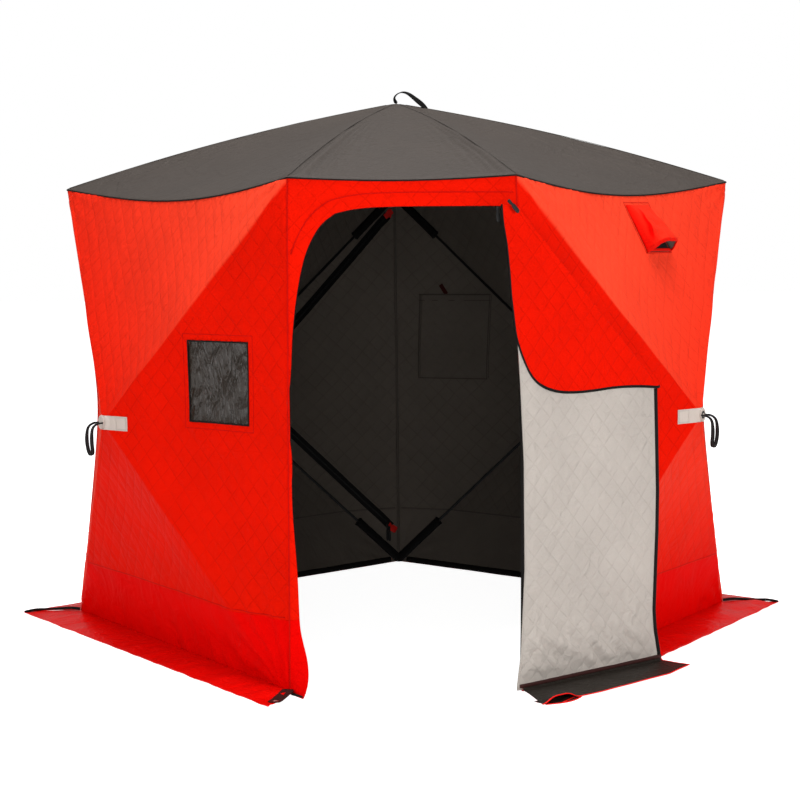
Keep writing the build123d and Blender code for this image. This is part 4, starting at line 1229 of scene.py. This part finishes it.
edging(
    "door_near_hem", hinge_side(line) + 0.0012, line, 0.0028, 0.0040, 0.0068, door_lining, sides=8
)
line = np.linspace(FOLD_HEIGHT - 0.004, DOOR_FOOT + 0.008, 101)
edging(
    "door_edge_binding", free_side(line) - 0.007, line, 0.0036, 0.0175, 0.0092, black_binding
)
line = run_of((DOOR_GAP - 0.008, DOOR_FOOT + 0.013), (DOOR_WIDTH - 0.002, DOOR_FOOT + 0.015))
maroon_binding = woven(
    "maroon_binding", (0.030, 0.0065, 0.0055), 0.62, thread=0.0020, ridge=0.0003,
    fold=0.0,
)
edging("door_foot_binding", line[:, 0], line[:, 1], 0.0085, 0.0125, 0.0090, maroon_binding)

# Hinge strip. A folded strip of black tape that joins the door's near edge to the right
# jamb. It is sewn to both.
share, height = net(shares(11), np.linspace(DOOR_FOOT, DOOR_HEAD, 121))
jamb_x = np.interp(height, *np.array(RIGHT_SIDE[::-1]).T[::-1]) - 0.0062
jamb = np.stack([jamb_x, np.full_like(height, FRONT_Y + FRONT_FABRIC + 0.001), height], -1)
turned_jamb = np.stack([jamb_x, np.full_like(height, FRONT_Y - 0.0085), height], -1)
door_side = on_door(hinge_side(height) + 0.003, height, 0.0025)
wrapped = clamp(share / 0.4)[..., None]
free = clamp((share - 0.4) / 0.6)[..., None]
grid = (jamb * (1 - wrapped) + turned_jamb * wrapped) * (1 - free) + door_side * free
gusset = cloth(
    "door_hinge_strip", grid, (share * 0.03, height), 0.0012, [black_binding],
    (1, 0, 0), body=None,
)
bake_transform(gusset)

# Door skirt. The door's own strip of coated cloth, dark inside and red outside, lying
# forward of the open door with its near corner curled over. The edge turned under it is
# dark on top, painted shade in the mouth.
# The skirt's own dark coating; the same colour is painted shade on the turned-under edge.
dark_coating = woven(
    "dark_coating", (0.0165, 0.0130, 0.0100), 0.50, fold=0.0018, shine=0.10
)
share_u = shares(141)[:, None]
share_w = shares(61)[None, :]
DOOR_SKIRT_WIDTH, SKIRT_STEP = 0.190, 0.0085
MOUTH_AT, MOUTH_HALF = 0.105, 0.075
start_u = DOOR_GAP + 0.004 - (0.090 + DOOR_GAP) * share_w
end_u = DOOR_WIDTH + 0.034 * share_w
u = start_u + (end_u - start_u) * share_u
narrowing = np.interp(share_u, [0, 0.35, 0.8, 1], [1, 1, 0.84, 0.56])
travelled = share_w * (DOOR_SKIRT_WIDTH - 0.004) * narrowing
wave = billow(u, travelled, 71, 0.16, turn=0.3, spread=1.4)
mouth = np.exp(-(((share_u - MOUTH_AT) / MOUTH_HALF) ** 4))
z = 0.0115 - 0.0065 * share_w + 0.0055 * wave * np.sin(pi * share_w * 0.95)
z += 0.0190 * mouth * share_w**3 + 0.0110 * np.exp(-share_w / 0.025)
w = SKIRT_STEP + travelled * (1 - SKIRT_STEP / DOOR_SKIRT_WIDTH)
skirt_grid = on_door(u, z, w)
door_skirt = cloth(
    "door_snow_skirt", skirt_grid, (u, travelled), 0.0012,
    [dark_coating, skirt_cloth], UP, body="door",
)
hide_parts("door_skirt")
band("door_skirt_hem", skirt_grid[:, -1], UP, 0.0055, 0.0030, skirt_cloth, body="door", sides=8)
# A turned-under edge below the lifted mouth, dark on its top face: painted shade where the lifted
# edge hides the floor. Its red rim is the cloth's own colour.
under = (share_u[:, 0] > MOUTH_AT - 0.09) & (share_u[:, 0] < MOUTH_AT + 0.12)
edge = skirt_grid[under, -1] * (1, 1, 0)
forward = shares(7)[None, :, None]
out = np.sin(pi * shares(len(edge)))[:, None, None] * forward
grid = edge[:, None] + facing * (0.022 * out - 0.055 * (1 - forward))
grid = grid + UP * (0.0042 - 0.0014 * forward)
painted_shade_under = cloth(
    "door_skirt_turned_edge", grid, (grid[..., 0], grid[..., 1]), 0.0012,
    [dark_coating, skirt_cloth], UP,
    body="door",
)
band("door_skirt_turned_rim", grid[:, -1], UP, 0.0048, 0.0032, skirt_cloth, body="door", sides=8)
band("door_skirt_end_hem", skirt_grid[-1], UP, 0.0045, 0.0030, skirt_cloth, body="door", sides=8)

# Hub patches. Pale reinforcing cloth stitched over each hub, folded to the wall, with the
# washer and bolt that clamp the cloth to the hub under the pull loop.
PATCH_LENGTH, PATCH_HEIGHT, WASHER_RADIUS = 0.246, 0.050, 0.024
EYELET_RADIUS, EYELET_LIFT = 0.0105, 0.0095
STITCH_BOX, STITCH_BOX_HALF = 0.093, 0.024
patch_cloth = woven(
    "patch_cloth", (0.475, 0.408, 0.365), 0.68, thread=0.0020, fold=0.0010,
    unevenness=0.08,
)
pale_thread = woven("pale_thread", (0.42, 0.36, 0.32), 0.75, fold=0.0)
patches = []
for wall in WALLS:
    x, z = net(np.linspace(-0.5, 0.5, 81) * PATCH_LENGTH, np.linspace(-0.5, 0.5, 21) * PATCH_HEIGHT)
    flat = wall.hub + x[..., None] * wall.along + z[..., None] * UP
    grid = laid(wall, flat, 0.0018)
    over_washer = clamp((WASHER_RADIUS + 0.012 - np.hypot(x, z)) / 0.009)
    puff = 0.0012 * billow(x, z, 81 + len(patches), 0.05) + 0.0060 * np.sin(pi / 2 * over_washer)
    grid = grid + puff[..., None] * wall.out
    patch = cloth(
        wall.name + "_hub_patch", grid, (x, z), 0.0016, [patch_cloth], wall.out
    )
    patches.append(patch)
    turn = np.linspace(0, 2 * pi, 37)[:, None]
    ring = wall.hub + (np.cos(turn) * wall.along + np.sin(turn) * UP) * EYELET_RADIUS
    ring = laid(wall, np.vstack([ring[:-1], ring[:1]]), EYELET_LIFT)
    band(
        wall.name + "_patch_eyelet", ring, wall.out, 0.0075, 0.0024, black_cord, sides=8,
        slot="black_webbing",
    )
    tall = PATCH_HEIGHT / 2 - 0.005
    for count, middle in enumerate((-STITCH_BOX, STITCH_BOX)):
        corners = [
            wall.hub + wall.along * (middle + a * STITCH_BOX_HALF) + UP * (b * tall)
            for a, b in ((-1, -1), (1, -1), (1, 1), (-1, 1))
        ]
        box = laid(wall, run_of(*corners, spacing=0.008, close=True), 0.0030)
        name = f"{wall.name}_patch_stitch_{count}"
        band(name, box, wall.out, 0.0022, 0.0014, pale_thread, sides=6)
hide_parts("hub_patches")

# Poles and hubs. Black moulded hubs hold poles of pulled glass fibre, scuffed dull by the
# cloth that slides over them, and a zinc-plated eyelet takes the ice anchor's line.
black_plastic, tree, shader = new_finish("black_plastic")
place = node(tree, "TexCoord").outputs["Object"]
blotch = noise_of(tree, place, 22.0, 4.0)
dress(
    tree, shader, blend_of(tree, blotch, (0.007, 0.007, 0.007), (0.014, 0.0135, 0.0135)),
    ramp(tree, blotch, 0.2, 0.8, 0.45, 0.62), noise_of(tree, place, 420.0, 2.0), 0.0004, shine=0.15,
)
glass_fibre, tree, shader = new_finish("glass_fibre")
place = node(tree, "TexCoord").outputs["Object"]
streaks = noise_of(tree, place, 90.0, 5.0)
scuffs = ramp(tree, noise_of(tree, place, 12.0, 6.0), 0.55, 0.75)
dress(
    tree, shader, blend_of(tree, streaks, (0.005, 0.005, 0.005), (0.012, 0.0115, 0.011)),
    ramp(tree, scuffs, 0, 1, 0.42, 0.62), streaks, 0.0003, shine=0.12,
)
zinc, tree, shader = new_finish("zinc")
spangle = noise_of(tree, node(tree, "TexCoord").outputs["Object"], 160.0, 4.0)
dress(
    tree, shader, blend_of(tree, spangle, (0.50, 0.49, 0.47), (0.72, 0.71, 0.69)),
    ramp(tree, spangle, 0.2, 0.8, 0.28, 0.45), spangle, 0.0002, metal=1.0,
)
for name, finish in {
    "hub_washers": patch_cloth, "wall_hubs": black_plastic, "roof_hub": black_plastic,
    "wall_poles": glass_fibre, "roof_poles": glass_fibre, "anchor_grommet": zinc,
}.items():
    data = frame["nodes"][name].data
    data.materials.clear()
    data.materials.append(finish)

# Pole sleeves. Each pole's end sits in a pocket of black webbing sewn into the corner, flat
# at its closed end and round where the pole goes in.
SLEEVE_WIDTH, SLEEVE_DEPTH, SLEEVE_REACH = 0.040, 0.024, 0.055
SLEEVE_FLAT, SLEEVE_RIM, SLEEVE_LOWEST = 0.006, 0.97, 0.021
black_webbing = woven(
    "black_webbing", (0.007, 0.0065, 0.0065), 0.68, thread=0.0022, ridge=0.0003,
    shine=0.04,
)
pockets = bmesh.new()
pockets.from_mesh(frame["nodes"]["pole_pockets"].data)
bmesh.ops.remove_doubles(pockets, verts=pockets.verts, dist=1e-5)
left_over, tubes = set(pockets.verts), []
while left_over:
    stack, found = [left_over.pop()], []
    while stack:
        vertex = stack.pop()
        found.append(vertex.co[:])
        for edge in vertex.link_edges:
            other = edge.other_vert(vertex)
            if other in left_over:
                left_over.remove(other)
                stack.append(other)
    tubes.append(np.array(found))
pockets.free()
tubes.sort(key=lambda t: tuple(np.round(t.mean(0), 3)))


def gathered(name, pieces):
    """Several pieces of one finish made into one."""
    finish = pieces[0].data.materials[0]
    work = bmesh.new()
    for piece in pieces:
        work.from_mesh(piece.data)
        bpy.data.objects.remove(piece)
    mesh = bpy.data.meshes.new(name)
    work.to_mesh(mesh)
    work.free()
    mesh.materials.append(finish)
    return riding(name, mesh, "shelter")


sleeves = []
for count, tube in enumerate(tubes):
    centre = tube.mean(0)
    way = np.linalg.svd(tube - centre)[2][0]
    wall = min(WALLS, key=lambda w: np.linalg.norm(centre - w.hub))
    over_roof = abs(way[2]) < 0.3
    hub_end = APEX if over_roof else wall.hub
    way = way if way @ (hub_end - centre) > 0 else -way
    half = (tube @ way).max() - (tube @ way).mean()
    face = UP if over_roof else wall.out
    share = shares(25)
    line = centre + way * (-half - SLEEVE_REACH + (2 * half + SLEEVE_REACH) * share)[:, None]
    line[:, 2] = np.maximum(line[:, 2], SLEEVE_LOWEST)
    open_end = clamp((share - 0.12) / 0.25)
    width = SLEEVE_WIDTH * (1 - 0.12 * open_end) + 0.004 * (share > SLEEVE_RIM)
    depth = SLEEVE_FLAT + (SLEEVE_DEPTH - SLEEVE_FLAT) * np.sin(pi / 2 * open_end)
    depth = depth + 0.002 * (share > SLEEVE_RIM)
    sleeves.append(band(f"sleeve_{count}", line, face, width, depth, black_webbing, sides=16))
sleeve = gathered("pole_sleeves", sleeves)
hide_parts("pole_pockets")

# Vent hood. A hood of the shell's cloth over a mesh vent in the right wall, hemmed along
# its lip, which a stay props open at the foot. It is boxed in by a line of stitching.
VENT_HEIGHT, VENT_WIDTH, VENT_REACH, VENT_SHIFT = 0.164, 0.196, 0.060, (0.060, 0.056)
head_first, head_second = eave(SIDE_RIGHT, WALL_TOP), eave(FRONT_RIGHT, WALL_TOP)
vent_way = unit(head_second - head_first)
vent_out = unit(np.cross(head_first - RIGHT.hub, head_second - RIGHT.hub))
vent_out = vent_out if vent_out @ RIGHT.out > 0 else -vent_out
vent_down = np.cross(vent_out, vent_way)
vent_down = vent_down if vent_down[2] < 0 else -vent_down
vent_length = VENT_HEIGHT / -vent_down[2]
near_side = 1 if vent_way @ (FRONT_RIGHT - SIDE_RIGHT) > 0 else -1
hood_low, hood_high = low("right_vent_hood"), high("right_vent_hood")
vent_side = VENT_WIDTH / 2 * np.abs(vent_way)
vent_head = np.array((hood_low[0] + vent_side[0], hood_high[1] - vent_side[1], hood_high[2]))


def on_vent(s, t, lift):
    """A point over the right wall's skin, across and down the vent."""
    s, t, lift = np.broadcast_arrays(s, t, lift)
    along_wall = s - near_side * (VENT_SHIFT[0] + VENT_SHIFT[1] * t / vent_length)
    flat = vent_head + along_wall[..., None] * vent_way + t[..., None] * vent_down
    return laid(RIGHT, flat, 0) + lift[..., None] * vent_out


across_share, down_share = net(np.linspace(-1, 1, 61), shares(41))
towards_rear = -near_side * across_share
section = np.interp(
    towards_rear, [-1, -0.86, -0.62, -0.1, 0.88, 1.0], [0, 0.50, 0.84, 1.0, 0.98, 0]
)
pleat = np.exp(-(((towards_rear + 0.15 + 0.70 * down_share) / 0.09) ** 2))
pleat = pleat * np.sin(pi * clamp(down_share * 1.1))
lift = 0.0025 + (VENT_REACH - 0.006) * down_share**0.92 * section + 0.012 * pleat
s = across_share * (VENT_WIDTH / 2)
t = vent_length * down_share * (1 - 0.15 * section**2)
crumple = swell(s, t, 91, 0.055) * section * clamp(down_share * 3)
lift = lift + 0.0050 * crumple
grid = on_vent(s, t, lift)
hood = cloth("vent_hood", grid, (s, t - 1.0), 0.0022, [red_quilt, dark_lining], vent_out)
# Painted sheen on the hood, held back in the pleat and on its rear side, so these read as painted
# shade.
set_painted_sheen(hood, 0.45 - 0.5 * pleat - 0.55 * clamp(-0.25 - towards_rear))
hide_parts("right_vent_hood")
band(
    "vent_lip_hem", grid[-1] + vent_down * 0.001 - vent_out * 0.0012, vent_out, 0.014, 0.0060,
    red_piping,
)
share = np.linspace(-0.96, 0.94, 41)
sill_lift = 0.003 + 0.007 * np.sqrt(clamp(1 - share**2))
band(
    "vent_sill", on_vent(share * VENT_WIDTH / 2, vent_length, sill_lift), vent_out, 0.010,
    0.0080, red_piping,
)
# The mesh is black; with no hole cut behind it, its near-black colour also paints the shade of the
# vent's opening.
vent_mesh = woven(
    "vent_mesh", (0.006, 0.006, 0.006), 0.9, thread=0.0018, ridge=0.0006
)
s, t = net(np.linspace(-0.49, 0.49, 21) * VENT_WIDTH, np.linspace(0.08, 1.03, 21) * vent_length)
mesh_panel = cloth(
    "vent_mesh_panel", on_vent(s, t, 0.0012), (s, t), 0.001, [vent_mesh], vent_out
)
MARGIN = 0.009
box = [(-1, -MARGIN), (1, -MARGIN), (1, vent_length + MARGIN), (-1, vent_length + MARGIN)]
corners = [on_vent(a * (VENT_WIDTH / 2 + MARGIN), b, 0) for a, b in box]
band(
    "vent_stitching", laid(RIGHT, run_of(*corners, close=True), 0.0003), vent_out, 0.0028, 0.0016,
    red_thread, sides=6,
)

# Second doorway's zip. Its black tape and coil run in two slanting lengths inside the back
# left wall, with a red tab at each end and the sliders parked at the foot.
ZIP_WIDTH, ZIP_KNEE, ZIP_FOOT = 0.038, 0.748, 0.165
ZIP_HEAD_DROP, ZIP_OFF_SEAM = 0.108, 0.036
red_webbing = woven("red_webbing", (0.80, 0.020, 0.016), 0.65)
coil = woven(
    "zip_coil", (0.007, 0.007, 0.007), 0.45, thread=0.0030, ridge=0.0012, fold=0.0,
    shine=0.15,
)
waist = seam_foot(BACK, HUB_HEIGHT)
vertex = waist + unit(BACK_LEFT.hub - waist) * ZIP_KNEE
upper = seam_foot(BACK, WALL_TOP - ZIP_HEAD_DROP) + BACK_LEFT.along * ZIP_OFF_SEAM
lower = BACK + (waist - BACK) * (ZIP_FOOT / HUB_HEIGHT) + BACK_LEFT.along * ZIP_OFF_SEAM
for name, end in (("upper", upper), ("lower", lower)):
    line = run_of(end, vertex, spacing=0.02)
    flat = laid(BACK_LEFT, line, -WALL_FABRIC - 0.0022)
    back = unit(end - vertex)
    over = np.cross(back, BACK_LEFT.out) * (ZIP_WIDTH / 2)
    over = laid(BACK_LEFT, line + over, 0) - laid(BACK_LEFT, line - over, 0)
    square = units(np.cross(over, back))
    square = square * np.sign(square @ BACK_LEFT.out)[:, None]
    tape = band(f"side_zip_{name}_tape", flat, square, ZIP_WIDTH, 0.003, black_webbing)
    band(
        f"side_zip_{name}_outer_coil", flat + square * (WALL_FABRIC + 0.0030), square, 0.0075,
        0.0034, coil, sides=8,
    )
    if name == "upper":
        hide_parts("side_door_zip")
    band(
        f"side_zip_{name}_coil", flat - BACK_LEFT.out * 0.0024, BACK_LEFT.out, 0.0075, 0.0034, coil,
        sides=8,
    )
    tab = laid(
        BACK_LEFT, run_of(end - back * 0.018, end + back * 0.030, spacing=0.006),
        -WALL_FABRIC - 0.0050,
    )
    width = np.array([0.038] * (len(tab) - 2) + [0.034, 0.024])
    band(f"side_zip_{name}_tab", tab, BACK_LEFT.out, width, 0.003, red_webbing)


def zip_pull(name, place, hang, face, length, width, body="shelter"):
    """A slider with its moulded pull: where it sits, which way the pull lies and faces."""
    share = shares(13)
    body_line = place - hang * 0.004 + hang[None] * (0.016 * share)[:, None]
    shape = 0.011 - 0.003 * np.abs(share - 0.35)
    band(name + "_slider", body_line, face, shape, 0.0075, black_plastic, body=body)
    pull_line = place + hang[None] * (0.011 + length * share)[:, None] + face * 0.002
    shape = width * (0.45 + 0.55 * clamp(share * 3) - 0.35 * clamp((share - 0.85) / 0.15))
    band(name + "_pull", pull_line, face, shape, 0.0046, black_plastic, body=body)


foot_zip = laid(BACK_LEFT, lower[None], -WALL_FABRIC - 0.012)[0]
zip_pull("side_zip_first", foot_zip + BACK_LEFT.along * 0.022, -UP, -BACK_LEFT.out, 0.052, 0.012)
zip_pull(
    "side_zip_second", foot_zip + BACK_LEFT.along * 0.036 + UP * 0.012, -UP, -BACK_LEFT.out, 0.060,
    0.012,
)
zip_pull(
    "door_zip_inner", np.array((0.306, FRONT_Y + 0.012, 1.572)), unit(np.array((0.05, 0.0, -1.0))),
    np.array((0.0, -1.0, 0.0)), 0.036, 0.013,
)
zip_pull(
    "door_zip_outer", on_door(-0.052, DOOR_HEAD + 0.020, 0.022), unit(across * 0.76 - UP * 0.65),
    facing, 0.042, 0.016, body="door",
)

# Carrying strap. A length of black webbing sewn down at the apex and again on the right
# ridge, standing up between them in an uneven bow.
strap_webbing = woven(
    "strap_webbing", (0.006, 0.0055, 0.0055), 0.66, thread=0.0020, ridge=0.0004,
    shine=0.04,
)
strap_x = np.array([0.004, -0.005, -0.007, 0.001, 0.011, 0.028, 0.050, 0.077, 0.104, 0.119])
strap_z = np.array([0.002, 0.010, 0.024, 0.034, 0.041, 0.0450, 0.038, 0.016, -0.006, -0.0265])
bow = rounded(np.stack([strap_x, strap_z], -1), 3)
line = np.stack([bow[:, 0], np.full(len(bow), MIDDLE[1]), ROOF_TOP - 0.001 + bow[:, 1]], -1)
travel = shares(len(bow))
twist = np.radians(
    np.interp(travel, [0, 0.12, 0.25, 0.48, 0.62, 0.80, 0.94, 1], [10, 36, 16, 8, 30, 66, 60, 20])
)
rise, run = np.gradient(bow[:, 1]), np.gradient(bow[:, 0])
normals = units(np.stack([-rise, np.zeros(len(bow)), run], -1))
facing_strap = normals * np.cos(twist)[:, None] + np.array(FORWARD) * np.sin(twist)[:, None]
strap = band("carrying_strap", line, facing_strap, 0.0215, 0.0030, strap_webbing)
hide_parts("roof_strap")

# Anchor tab. A doubled tab of dark webbing at the front left corner, with a zinc
# eyelet for the ice anchor's line.
TAB_WIDTH, TAB_LENGTH, TAB_FABRIC, TAB_HOLE = 0.042, 0.132, 0.0020, 0.0105
tab_out = unit(np.array((eyelet[0] - FRONT_LEFT[0], eyelet[1] - FRONT_LEFT[1], 0.0)))
tab_side = np.cross(UP, tab_out)
tab_length = TAB_LENGTH - TAB_WIDTH / 2
angle = np.linspace(0, 2 * pi, 97)[:-1]
ring = np.stack([np.cos(angle), np.sin(angle)], -1)
stretch = np.minimum(
    TAB_WIDTH / 2 / np.maximum(np.abs(ring[:, 1]), 1e-6),
    np.where(ring[:, 0] > 0, TAB_WIDTH / 2, tab_length) / np.maximum(np.abs(ring[:, 0]), 1e-6),
)
rounded_end = np.where(ring[:, 0] > 0, np.minimum(stretch, TAB_WIDTH / 2 * 1.15), stretch)
share = shares(13)[:, None]
spread = ring[None] * (TAB_HOLE + (rounded_end - TAB_HOLE) * share)[..., None]
rise = 0.0006 + 0.0150 * clamp(-spread[..., 0] / tab_length) ** 1.4
grid = eyelet + spread[..., :1] * tab_out + spread[..., 1:] * tab_side + rise[..., None] * UP
grid[..., 2] += TAB_FABRIC / 2
tab_webbing = woven(
    "tab_webbing", (0.024, 0.007, 0.006), 0.62, thread=0.0022, ridge=0.0004
)
tab = cloth(
    "anchor_webbing_tab", grid, (spread[..., 0], spread[..., 1]), TAB_FABRIC, [tab_webbing], UP,
    closed=True,
)
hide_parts("anchor_tab")


# Studio. A pale floor and a white surround, lit by four soft square lamps: one overhead,
# two from the front corners and a weak one straight ahead.
floor_mesh = bpy.data.meshes.new("floor")
FLOOR_HALF = 40.0
floor_corners = (-1, -1), (1, -1), (1, 1), (-1, 1)
floor_mesh.from_pydata(
    [(a * FLOOR_HALF, b * FLOOR_HALF, 0) for a, b in floor_corners], [], [(0, 1, 2, 3)]
)
linked("floor", floor_mesh)
pale_floor, tree, shader = new_finish("pale_floor")
shader.inputs["Base Color"].default_value = (0.85, 0.85, 0.85, 1)
shader.inputs["Roughness"].default_value = 0.9
shader.inputs["Specular IOR Level"].default_value = 0.0
shader.inputs["Emission Color"].default_value = (1, 1, 1, 1)
rays = node(tree, "LightPath").outputs
seen = sum_of(tree, "MAXIMUM", rays["Is Camera Ray"], rays["Is Glossy Ray"])
seen = sum_of(tree, "MAXIMUM", seen, rays["Is Transmission Ray"])
feed(tree, shader.inputs["Emission Strength"], sum_of(tree, "MULTIPLY", seen, 0.95))
floor_mesh.materials.append(pale_floor)

world = bpy.data.worlds.new("surround")
scene.world = world
world.use_nodes = True
tree = world.node_tree
background = tree.nodes["Background"]
rays = node(tree, "LightPath").outputs
seen = sum_of(tree, "MAXIMUM", rays["Is Camera Ray"], rays["Is Transmission Ray"])
feed(tree, background.inputs["Color"], blend_of(tree, seen, (0.36, 0.36, 0.36), (1.0, 1.0, 1.0)))
background.inputs["Strength"].default_value = 1.0


def lamp(name, place, aim, size, power):
    """A soft square lamp at a place, turned to a point."""
    data = bpy.data.lights.new(name, "AREA")
    data.shape, data.size, data.energy = "SQUARE", size, power
    made = linked(name, data)
    made.location = place
    made.rotation_euler = (Vector(aim) - Vector(place)).to_track_quat("-Z", "Y").to_euler()


lamp("overhead", (0.0, -0.6, 6.5), (0.0, 0.0, 1.0), 4.5, 400)
lamp("front_left", (-6.0, -7.5, 4.0), (0.0, 0.0, 0.9), 3.0, 335)
lamp("front_right", (6.5, -7.0, 2.4), (0.3, 0.0, 0.5), 3.0, 405)
lamp("front_fill", (0.0, -9.0, 1.3), (0.0, 1.4, 0.6), 2.5, 115)
